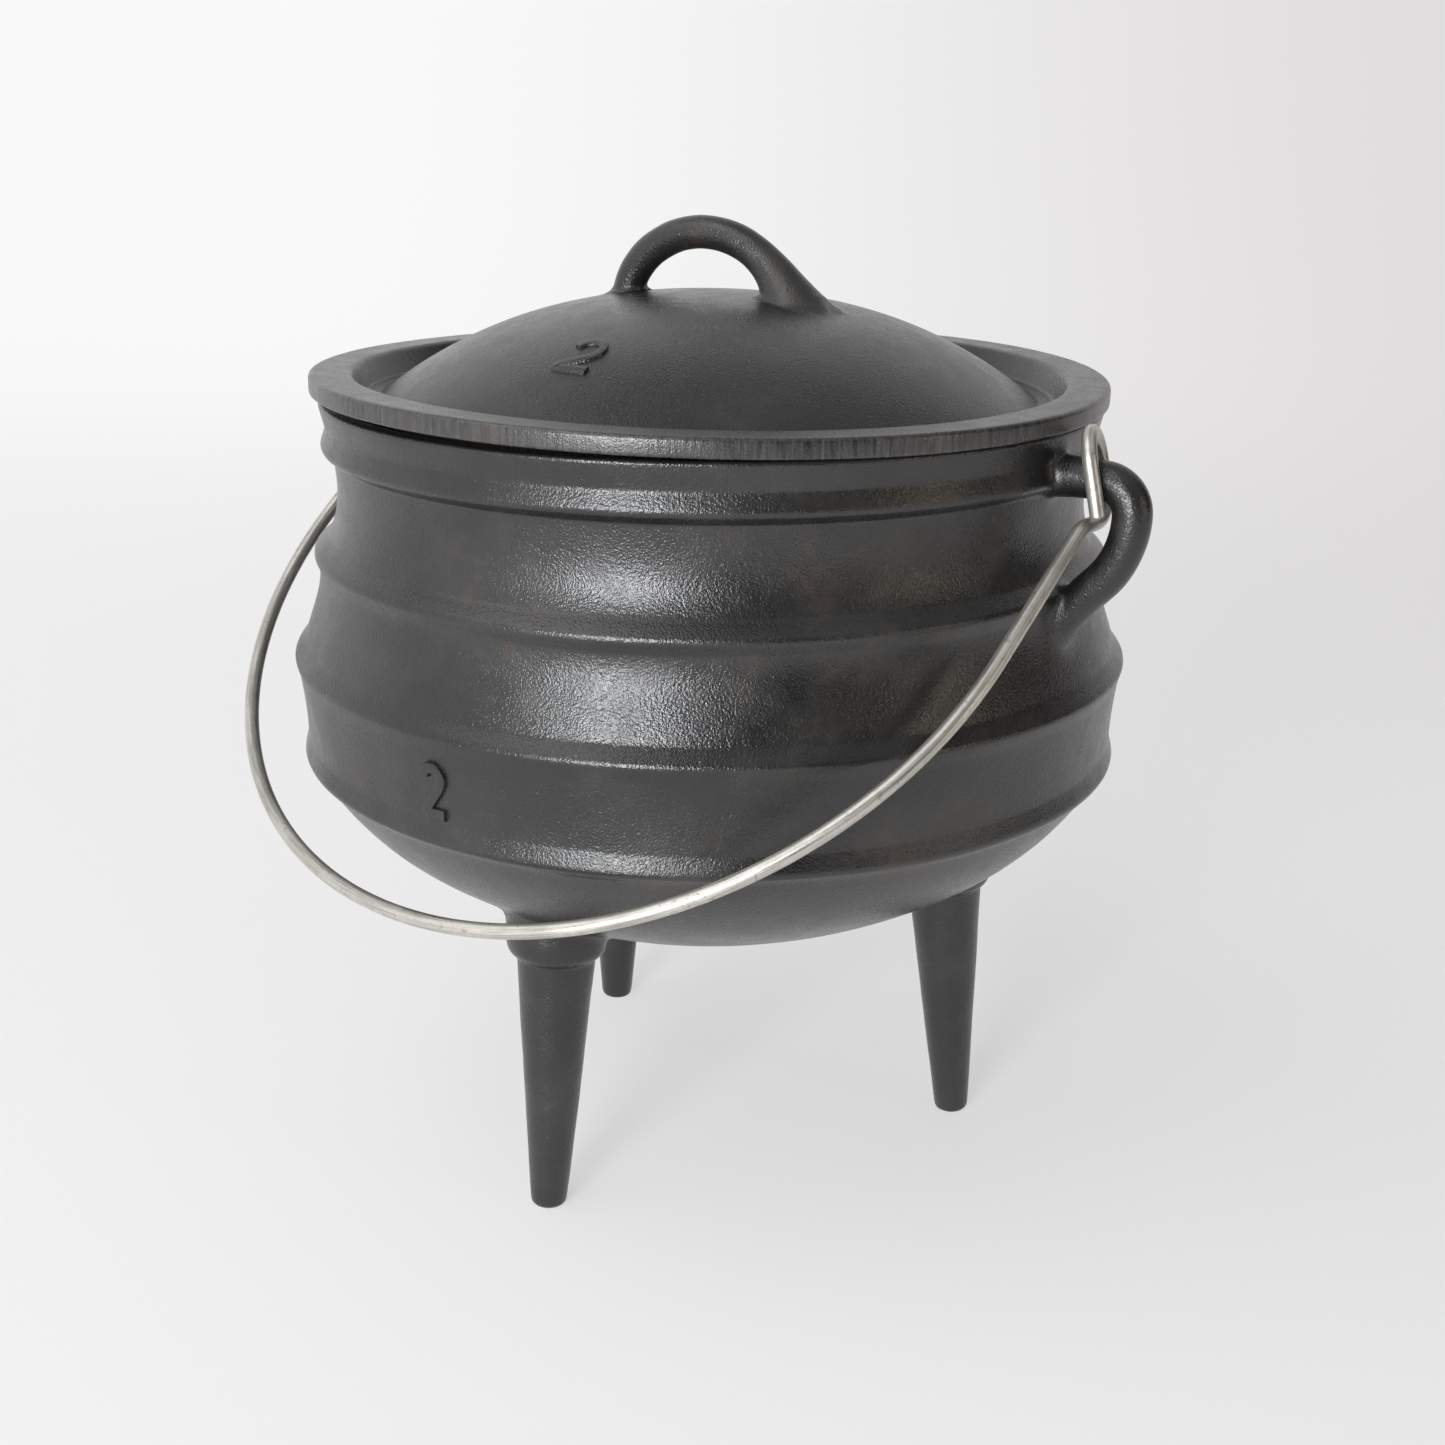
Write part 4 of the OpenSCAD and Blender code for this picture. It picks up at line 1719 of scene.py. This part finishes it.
@dataclass
class LidCasting:
    """The domed lid with its flat band, its arched handle and the size mark on its dome."""

    lid_r: float = 122.7
    band_t: float = 5.6
    band_w: float = 12.4
    band_edge_r: float = 1.3
    trough_drop: float = 1.8
    trough_slope: float = 3.8
    dome_foot_r: float = 99.6
    dome_foot_rise: float = 1.2
    crown_curve_r: float = 250
    crown_r: float = 30
    dome_curve_r: float = 145
    lid_wall: float = 4.6
    lid_play: float = 1.6
    seat_gap: float = 0.1
    lid_tilt: float = 0.55
    high_side: float = 200
    shift: float = 0.6
    handle_turn: float = 4.7
    handle_height: float = 22.7
    slim_root_x: float = 31.9
    thick_root_x: float = 27.5
    handle_d: float = 10
    thick_root_d: float = 24
    handle_peak_x: float = 4
    root_ring_d: float = 13
    root_ring_t: float = 2.6
    handle_slide: float = 1.2
    handle_sink: float = 4.2
    root_lifts: Pair = (11, 13)
    thick_lean: float = 6
    peak_pull: float = 15
    root_run: float = 5
    swell_rate: float = 2.16
    swell_power: float = 4
    inner_edge: tuple[float, float, float] = (0.5, 0.6, 0.7)
    hollow_r: float = 60
    hollow_drop: float = 20
    warp: float = 0.8
    warp_side: float = 72
    lean_behind: float = 22
    lean_rise: float = 0.5
    warp_lift: float = 0.25
    segments: int = 288
    core_segments: int = 96
    bar_sides: int = 56
    waves: Waves = Waves(0.3, 30, 21.0)
    handle_waves: Waves = Waves(0.5, 12, 12.0)
    ring_waves: Waves = Waves(0.4, 6, 14.0)
    fillet: float = 3.2
    ring_fillet: float = 0.8
    mark_r: float = 69.5
    numeral: Numeral = field(
        default_factory=lambda: Numeral(height=17, width=12, stroke=2.9, rise=0.8)
    )

    def dome_angles(self) -> Pair:
        """Works out where the crown ends and where the dome meets its foot.

        Returns:
            The two slopes, in degrees.
        """
        crown = math.asin(self.crown_r / self.crown_curve_r)
        foot = math.asin(
            math.sin(crown) + (self.dome_foot_r - self.crown_r) / self.dome_curve_r
        )
        return math.degrees(crown), math.degrees(foot)

    def dome_top(self) -> float:
        """Works out how far the dome's top stands over the band's underside.

        Returns:
            The height.
        """
        crown, foot = (math.radians(a) for a in self.dome_angles())
        fall = self.dome_curve_r * (math.cos(crown) - math.cos(foot))
        fall += self.crown_curve_r * (1 - math.cos(crown))
        return self.dome_foot_rise - self.trough_drop + fall

    def dome(self, depth: float) -> Outline:
        """Draws the dome from its foot to its top.

        Args:
            depth: How deep under the outside the outline lies.

        Returns:
            The outline.
        """
        crown, foot = self.dome_angles()
        centre = (0.0, self.dome_top() - self.crown_curve_r)
        side = polar(centre, self.crown_curve_r - self.dome_curve_r, 90 - crown)
        drawn = Outline().arc(side, self.dome_curve_r - depth, 90 - foot, 90 - crown, 40)
        return drawn.arc(centre, self.crown_curve_r - depth, 90 - crown, 90, 12)

    def section(self, wall: PotWall) -> Outline:
        """Draws the lid from the top of its dome round its band to the middle of its underside.

        Args:
            wall: The pot's wall, into whose mouth the lid's step fits.

        Returns:
            The outline.
        """
        band_inner = self.lid_r - self.band_w
        trough = (band_inner - self.trough_slope, -self.trough_drop)
        step = wall.brim_r - wall.brim_w - self.lid_play
        edge = self.band_edge_r
        under = self.dome(self.lid_wall)
        under_z = -self.trough_drop - self.lid_wall
        drawn = Outline(self.dome(0).points[::-1])
        drawn.to((self.dome_foot_r + self.trough_drop, -self.trough_drop), trough)
        back, fall, over = self.inner_edge
        drawn.to((band_inner - back, self.band_t - fall), (band_inner + over, self.band_t))
        drawn.arc((self.lid_r - edge, self.band_t - edge), edge, 90, 0, 8)
        drawn.arc((self.lid_r - edge / 2, edge / 2), edge / 2, 0, -90, 5)
        drawn.to((step, 0), (step - self.trough_slope / 2, under_z))
        drawn.to((under.points[0][0] + self.trough_drop, under_z))
        drawn.to(*under.points)
        return drawn.eased(0.4, 3)

    def handle_path(self) -> list[Vector]:
        """Lays out the handle's centreline from its slim root to its thick root.

        Returns:
            The points of the centreline, over the band's underside.
        """
        top = self.dome_top()
        sink = top - self.handle_sink
        peak = (-self.handle_peak_x, top + self.handle_height - self.handle_d / 2)
        slim, thick = (-self.slim_root_x, sink), (self.thick_root_x, sink)
        rising, falling = ((peak[0] + pull, peak[1]) for pull in (-self.peak_pull, self.peak_pull))
        slim_lift, thick_lift = (sink + lift for lift in self.root_lifts)
        drawn = Outline().curve(slim, (slim[0], slim_lift), rising, peak, 28)
        drawn.curve(peak, falling, (thick[0] - self.thick_lean, thick_lift), thick, 28)
        end, before = drawn.points[-1], drawn.points[-3]
        drawn.to(mixed(before, end, 1 + self.root_run / math.dist(before, end)))
        points = [Vector((x + self.handle_slide, 0, z)) for x, z in drawn.points]
        return without_doubles(points)

    def handle_thickness(self, run: Sequence[float]) -> list[float]:
        """Gives the handle's thickness at each point of its path.

        Args:
            run: How far along the path each point is.

        Returns:
            The thickness at each point.
        """
        given = []
        for s in run:
            swell = self.swell_rate * s / run[-1] - self.swell_rate / 2
            share = max(0.0, min(1.0, swell)) ** self.swell_power
            given.append(self.handle_d + (self.thick_root_d - self.handle_d) * share)
        return given

    def _handle(self, shop: Workshop) -> bpy.types.Mesh:
        """Makes the handle.

        Args:
            shop: The shared trees.

        Returns:
            The handle, over the band's underside.
        """
        path = self.handle_path()
        thickness = self.handle_thickness(run_of(path))
        return shop.swept("handle", path, thickness, self.bar_sides, self.handle_waves)

    def _root_ring(self, shop: Workshop) -> bpy.types.Mesh:
        """Makes the ring round the handle's slim root.

        Args:
            shop: The shared trees.

        Returns:
            The ring, half sunk in the dome.
        """
        slope = math.asin(self.slim_root_x / self.crown_curve_r)
        foot = self.dome_top() - self.crown_curve_r * (1 - math.cos(slope))
        across = (self.root_ring_d - self.root_ring_t) / 2
        section = Outline().arc((across, 0.0), self.root_ring_t / 2, -180, 180, 16)
        ring = shop.turned("root_ring", section, self.bar_sides, self.ring_waves)
        ring.transform(
            Matrix.Translation(((self.handle_slide - self.slim_root_x) * MM, 0, foot * MM))
            @ Matrix.Rotation(-slope, 4, "Y")
        )
        return ring

    def _place(self, wall: PotWall) -> Matrix:
        """Gives the lid's place on the pot.

        Args:
            wall: The pot's wall.

        Returns:
            The move, in metres, from the lid's own frame.
        """
        tilt = math.radians(self.lid_tilt)
        rise = wall.heights()[-1] + self.seat_gap
        rise += (wall.brim_r - wall.brim_edge_r) * math.sin(tilt)
        return (
            Matrix.Rotation(math.radians(self.high_side), 4, "Z")
            @ Matrix.Translation((self.shift * MM, 0, rise * MM))
            @ Matrix.Rotation(-tilt, 4, "Y")
            @ Matrix.Rotation(math.radians(self.handle_turn - self.high_side), 4, "Z")
        )

    def _warp(self, mesh: bpy.types.Mesh) -> None:
        """Bends the lid by the fraction of a millimetre that a casting warps as it cools.

        Args:
            mesh: The lid's mesh, or its size mark's, in place.
        """
        side = math.radians(self.warp_side)
        lean = math.radians(self.warp_side - self.lean_behind)
        for vertex in mesh.vertices:
            x, y = vertex.co.x, vertex.co.y
            radius, angle = math.hypot(x, y) / (self.lid_r * MM), math.atan2(y, x)
            saddle = self.warp * radius**2 * math.cos(2 * (angle - side))
            tipped = self.lean_rise * radius * math.cos(angle - lean)
            vertex.co.z += (saddle + tipped + self.warp_lift) * MM

    def build(
        self, shop: Workshop, wall: PotWall, iron: bpy.types.Material
    ) -> list[bpy.types.Object]:
        """Makes the lid and its size mark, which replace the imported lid.

        Args:
            shop: The shared trees.
            wall: The pot's wall.
            iron: The lid's material.

        Returns:
            The pieces.
        """
        section = self.section(wall).thinned(0.012, 3.0)
        shell = shop.turned("lid_shell", section, self.segments, self.waves)
        hollow = Outline([(0.0, -self.hollow_drop), (self.hollow_r, -self.hollow_drop)])
        hollow.to(*self.dome(self.lid_wall / 2).points[14:])
        core = shop.turned("lid_core", hollow, self.core_segments)
        mesh = shop.cast("lid_casting", shell, self._handle(shop), core, self.fillet, iron)
        ring = self._root_ring(shop)
        mesh = shop.cast("lid_casting", mesh, ring, core, self.ring_fillet, iron)
        place = self._place(wall)
        mesh.transform(place)
        self._warp(mesh)
        casting = as_piece("lid_casting", sharpened(mesh, CAST_CREASE), Body.POT)
        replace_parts(casting, Part.LID.value)
        return [casting, self._mark(place, iron)]

    def _mark(self, place: Matrix, iron: bpy.types.Material) -> bpy.types.Object:
        """Makes the size mark on the front of the dome.

        Args:
            place: The lid's place on the pot.
            iron: The lid's material.

        Returns:
            The mark.
        """
        dome = self.dome(0)

        def on_dome(x: float, y: float, rise: float) -> Vector:
            """Lays a point of the mark on the dome.

            Args:
                x: How far right of its middle the point lies.
                y: How far up it lies.
                rise: How far over the wall it lies.

            Returns:
                Its place, in millimetres.
            """
            radius = self.mark_r - y
            angle = math.radians(-90) + x / self.mark_r
            height = dome.height_at(radius) + rise
            return Vector((radius * math.cos(angle), radius * math.sin(angle), height))

        mesh = self.numeral.mesh("lid_size_mark", on_dome)
        mesh.transform(place)
        self._warp(mesh)
        mesh.materials.append(iron)
        return as_piece("lid_size_mark", mesh, Body.POT)


# The bail.


@dataclass
class Bail:
    """The wire bail: a bow with an eye bent round each ear."""

    wire_d: float = 4.35
    bow_inset: float = 1.3
    bow_shift: float = 1.8
    bow_drop: float = 183.2
    bow_offset: float = 4.4
    lean: float = 52.5
    eye_play: float = 0.5
    eye_rise: float = 5.2
    eye_fall: float = 4.4
    eye_end_drop: float = 8.8
    eye_tilt: float = 13
    eye_side_gap: float = 0.25
    eye_inset: float = 10.9
    elbow_r: float = 8
    elbow_sidestep: float = 0.6
    chamfer: float = 0.3
    bend_step: float = 1.1
    run_step: float = 2.5
    sides: int = 28
    sharp_edge: float = 40
    waves: Waves = Waves(0.06, 9, 31.0)

    def _on_bow(self, x: float, v: float) -> Vector:
        """Gives a point of the bow's plane.

        Args:
            x: How far it lies to the right.
            v: How far it lies down along the bail from the hinge line.

        Returns:
            The point, from the middle of the hinge line.
        """
        sine, cosine = math.sin(math.radians(self.lean)), math.cos(math.radians(self.lean))
        y, z = -v * sine + self.bow_offset * cosine, -v * cosine - self.bow_offset * sine
        return Vector((x, y, z))

    def half(self, ears: Ears, off: float) -> tuple[list[Vector], list[float]]:
        """Lays out one half, as a right one, from the foot of the bow to the eye's cut end.

        Args:
            ears: The ears that it hangs from.
            off: How far the bow's centre lies towards this half.

        Returns:
            The corners of its path from the middle of the hinge line, and their radii.
        """
        rod = (ears.rod_d + self.wire_d) / 2
        half, top, bottom = rod + self.eye_play, rod + self.eye_rise, rod + self.eye_fall
        slant = math.tan(math.radians(self.eye_tilt))
        eye_x = ears.reach - self.eye_inset
        a = math.radians(self.lean)
        elbow_v = (bottom - self.bow_offset * math.sin(a)) / math.cos(a)
        bow_r = eye_x - self.bow_inset
        end = touch((eye_x - off, self.bow_drop - bow_r - elbow_v), (0, 0), bow_r, -1)
        corner_x = off + bow_r * math.tan(math.radians(90 + end) / 2)
        low = Vector((eye_x + self.elbow_sidestep, half, -bottom))
        back = Vector((low.x - slant * (top + bottom), half, top))
        front = Vector((back.x + self.wire_d + self.eye_side_gap, -half, top))
        cut = Vector((front.x + slant * (top + self.eye_end_drop), -half, -self.eye_end_drop))
        bow = ((off, self.bow_drop), (corner_x, self.bow_drop), (eye_x, elbow_v))
        points = [*(self._on_bow(*place) for place in bow), low, back, front, cut]
        cuts = self._cut(low, back, front) + self._cut(back, front, cut)
        crown = (front - back).length / cuts
        return points, [bow_r, self.elbow_r, half, crown, crown]

    @staticmethod
    def _cut(a: Vector, b: Vector, c: Vector) -> float:
        """Gives the length that a corner of radius 1 takes off each of its sides."""
        return 1 / math.tan((a - b).angle(c - b) / 2)

    def path(self, hinge: float, ears: Ears) -> list[Vector]:
        """Lays out the whole wire, from one cut end to the other.

        Args:
            hinge: The height of the hinge line.
            ears: The ears that it hangs from.

        Returns:
            The points of its centreline.
        """
        right, radii = self.half(ears, -self.bow_shift)
        left, _ = self.half(ears, self.bow_shift)
        mirrored = [Vector((-p.x, p.y, p.z)) for p in left[:0:-1]]
        whole = bent_path([*mirrored, *right[1:]], [*radii[::-1], *radii], self.bend_step)
        return [p + Vector((0, 0, hinge)) for p in filled_in(whole, self.run_step)]

    def build(
        self, shop: Workshop, hinge: float, ears: Ears, steel: bpy.types.Material
    ) -> bpy.types.Object:
        """Makes the bail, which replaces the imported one.

        Args:
            shop: The shared trees.
            hinge: The height of the hinge line.
            ears: The ears that it hangs from.
            steel: The wire's material.

        Returns:
            The piece.
        """
        path = self.path(hinge, ears)
        ends = [
            end.lerp(inner, self.chamfer / (inner - end).length)
            for end, inner in ((path[0], path[1]), (path[-1], path[-2]))
        ]
        full = [path[0], ends[0], *path[1:-1], ends[1], path[-1]]
        thickness = [self.wire_d] * len(full)
        thickness[0] = thickness[-1] = self.wire_d - 2 * self.chamfer
        mesh = shop.swept("bail", full, thickness, self.sides, self.waves, Material=steel)
        bail = as_piece("bail_wire", sharpened(mesh, self.sharp_edge), Body.BAIL)
        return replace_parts(bail, Part.BAIL.value)


# The studio.


@dataclass(frozen=True)
class Lamp:
    """A soft lamp. Its bearing is in degrees to the right of the camera, its lengths in metres."""

    name: str
    bearing: float
    height: float
    distance: float
    size: Pair
    power: float
    colour: tuple[float, float, float] = (1, 1, 1)


@dataclass
class Studio:
    """The camera of the photograph, a pale sweep to stand on, and soft light."""

    camera_at: tuple[float, float, float] = (342.6, -480.3, 332.1)
    heading: float = 35.5
    pan: float = 0.421
    pitch: float = 18.264
    roll: float = 0.570
    lens: float = 46.80
    sensor: float = 36.0
    view_end: float = 50
    lamps: tuple[Lamp, ...] = (
        Lamp("window", -24, 0.50, 1.7, (0.55, 0.70), 26, (0.95, 0.97, 1.0)),
        Lamp("soft_top", -60, 1.7, 1.0, (1.4, 1.2), 9),
        Lamp("warm_right", 62, 0.55, 1.8, (0.35, 0.6), 2.2, (1.0, 0.85, 0.68)),
    )
    lamps_aim: float = 0.15
    sweep_floor: Pair = (-2.5, 1.5)
    sweep_bend: float = 0.9
    sweep_top: float = 3.0
    sweep_half: float = 3.5
    # Painted shade on the sweep's glow: full white on the left side, dimmer on the right side.
    bright_side: Colour = (1.0, 1.0, 1.0, 1)
    dim_side: Colour = (0.78, 0.76, 0.76, 1)
    side_range: Pair = (-0.6, 1.1)
    paper_dull: Colour = (0.86, 0.85, 0.84, 1)
    paper_pale: Colour = (0.90, 0.89, 0.88, 1)
    glow_near: float = 0.58
    glow_gain: float = 0.32
    glow_range: Pair = (0.0, 2.0)
    wall_dark: Colour = (0.035, 0.03, 0.025, 1)
    wall_pale: Colour = (0.85, 0.86, 0.88, 1)
    wall_range: Pair = (-0.2, 0.95)
    ceiling: Colour = (0.42, 0.42, 0.43, 1)
    ceiling_range: Pair = (0.35, 0.95)

    def _camera_axes(self) -> tuple[Vector, Vector, Vector]:
        """Works out how the camera is turned.

        Returns:
            Its right, up and backward directions.
        """
        pan, pitch, roll = (math.radians(a) for a in (self.pan, self.pitch, self.roll))
        level = math.cos(pitch)
        forward = Vector((math.sin(pan) * level, math.cos(pan) * level, -math.sin(pitch)))
        right = Vector((math.cos(pan), -math.sin(pan), 0))
        up = right.cross(forward)
        turned_right = right * math.cos(roll) + up * math.sin(roll)
        turned_up = up * math.cos(roll) - right * math.sin(roll)
        turn = Matrix.Rotation(math.radians(self.heading), 3, "Z")
        return turn @ turned_right, turn @ turned_up, turn @ -forward

    def camera(self) -> bpy.types.Object:
        """Sets up the camera.

        Returns:
            The camera.
        """
        data = bpy.data.cameras.new("camera")
        data.lens = self.lens
        data.sensor_width = self.sensor
        data.sensor_fit = "HORIZONTAL"
        data.clip_end = self.view_end
        camera = linked("camera", data)
        columns = (*self._camera_axes(), Vector(self.camera_at) * MM)
        camera.matrix_world = Matrix(
            [[column[row] for column in columns] for row in range(3)] + [[0, 0, 0, 1]]
        )
        bpy.context.scene.camera = camera
        return camera

    def light(self, lamp: Lamp) -> bpy.types.Object:
        """Sets up a soft lamp that looks at the pot.

        Args:
            lamp: The lamp.

        Returns:
            Its object.
        """
        data = bpy.data.lights.new(lamp.name, "AREA")
        data.shape = "RECTANGLE"
        data.size, data.size_y = lamp.size
        data.energy = lamp.power
        data.color = lamp.colour
        made = linked(lamp.name, data)
        across, out = polar((0.0, 0.0), lamp.distance, self.heading - 90 + lamp.bearing)
        place = Vector((across, out, lamp.height))
        look = Vector((0, 0, self.lamps_aim)) - place
        turn = look.to_track_quat("-Z", "Y").to_matrix().to_4x4()
        made.matrix_world = Matrix.Translation(place) @ turn
        return made

    def sweep(self) -> bpy.types.Object:
        """Makes the pale floor that curves up into a backdrop behind the pot.

        Returns:
            The sweep.
        """
        front, back = self.sweep_floor
        radius, sides = self.sweep_bend, (-self.sweep_half, self.sweep_half)
        line = [(front, 0.0), (back, 0.0)]
        line += [
            (back + radius * math.sin(a), radius * (1 - math.cos(a)))
            for a in (math.pi / 2 * i / 16 for i in range(1, 17))
        ]
        line.append((back + radius, self.sweep_top))
        turn = Matrix.Rotation(math.radians(self.heading), 3, "Z")
        vertices = [turn @ Vector((x, y, z)) for y, z in line for x in sides]
        faces = [(2 * i, 2 * i + 1, 2 * i + 3, 2 * i + 2) for i in range(len(line) - 1)]
        mesh = bpy.data.meshes.new("sweep")
        mesh.from_pydata(vertices, [], faces)
        mesh.shade_smooth()
        mesh.materials.append(self._sweep_material())
        sweep = linked("sweep", mesh)
        return sweep

    def _sweep_material(self) -> bpy.types.Material:
        """Builds the sweep's pale paper, which stays nearly white where it is looked at, with
        painted shade that dims its glow towards the right.

        Returns:
            The material.
        """
        made = bpy.data.materials.new("pale_paper")
        g = fresh_graph(made)
        where = g.signal("ShaderNodeTexCoord", output="Object")
        cloud = g.noise(where, 0.8, 2.0)
        colour = g.blend(cloud, self.paper_dull, self.paper_pale)
        paper = g.signal(
            "ShaderNodeBsdfPrincipled",
            inputs={"Base Color": colour, "Roughness": 0.75, "Specular IOR Level": 0.2},
        )
        turn = math.radians(self.heading)
        across = g.along(where, (math.cos(turn), math.sin(turn), 0.0))
        depth = g.along(where, (-math.sin(turn), math.cos(turn), 0.0))
        # Painted shade: the glow that the camera and reflections see dims from the left side to the
        # right; its share grows towards the back.
        shade = g.blend(across.between(*self.side_range), self.bright_side, self.dim_side)
        glow = g.signal("ShaderNodeEmission", inputs={"Color": shade, "Strength": 1.0})
        seen = g.node("ShaderNodeLightPath")
        camera, glossy = (
            Signal(g, seen.outputs[f"Is {kind} Ray"]) for kind in ("Camera", "Glossy")
        )
        share = depth.between(*self.glow_range) * self.glow_gain + self.glow_near
        ray = camera.larger(glossy)
        mix = g.signal("ShaderNodeMixShader", inputs={0: ray * share, 1: paper, 2: glow})
        g.node("ShaderNodeOutputMaterial", inputs={"Surface": mix})
        return made

    def world(self) -> None:
        """Lights the room softly, bright on the window's side and dim on the other."""
        world = bpy.data.worlds.new("room")
        bpy.context.scene.world = world
        g = fresh_graph(world)
        way = g.signal("ShaderNodeTexCoord", output="Generated")
        turn = math.radians(self.heading)
        side = g.along(way, (-math.cos(turn), -math.sin(turn), 0.0))
        parts = g.node("ShaderNodeSeparateXYZ", inputs={0: way})
        height = Signal(g, parts.outputs["Z"])
        wall = g.blend(side.between(*self.wall_range), self.wall_dark, self.wall_pale)
        colour = g.blend(height.between(*self.ceiling_range), wall, self.ceiling)
        back = g.signal("ShaderNodeBackground", inputs={"Color": colour, "Strength": 1.0})
        g.node("ShaderNodeOutputWorld", inputs={"Surface": back})

    def build(self) -> None:
        """Sets up the camera, the sweep, the lamps and the room, and the plain view."""
        bpy.context.scene.view_settings.view_transform = "Standard"
        self.camera()
        self.sweep()
        self.world()
        for lamp in self.lamps:
            self.light(lamp)
        LOG.info("studio set up")


def corners(box: Any) -> list[list[float]]:
    """Makes a box plain lists of numbers."""
    return [[float(x) for x in corner] for corner in box]


def main() -> None:
    """Builds the pot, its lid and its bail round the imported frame."""
    logging.basicConfig(level=logging.INFO, format="%(name)s: %(message)s")
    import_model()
    Studio().build()
    shop = Workshop()
    pot = PotCasting()
    pot_iron = CastIron("pot_cast_iron", seed=1).material()
    lid_iron = CastIron("lid_cast_iron", ground_rim=(121.2, 122.2), seed=5).material()
    steel = DrawnWire("bail_zinc_wire").material()
    pot.build(shop, pot_iron)
    LidCasting().build(shop, pot.wall, lid_iron)
    hinge = pot.wall.heights()[-1] - pot.ears.drop
    Bail().build(shop, hinge, pot.ears, steel)


if __name__ == "__main__":
    main()
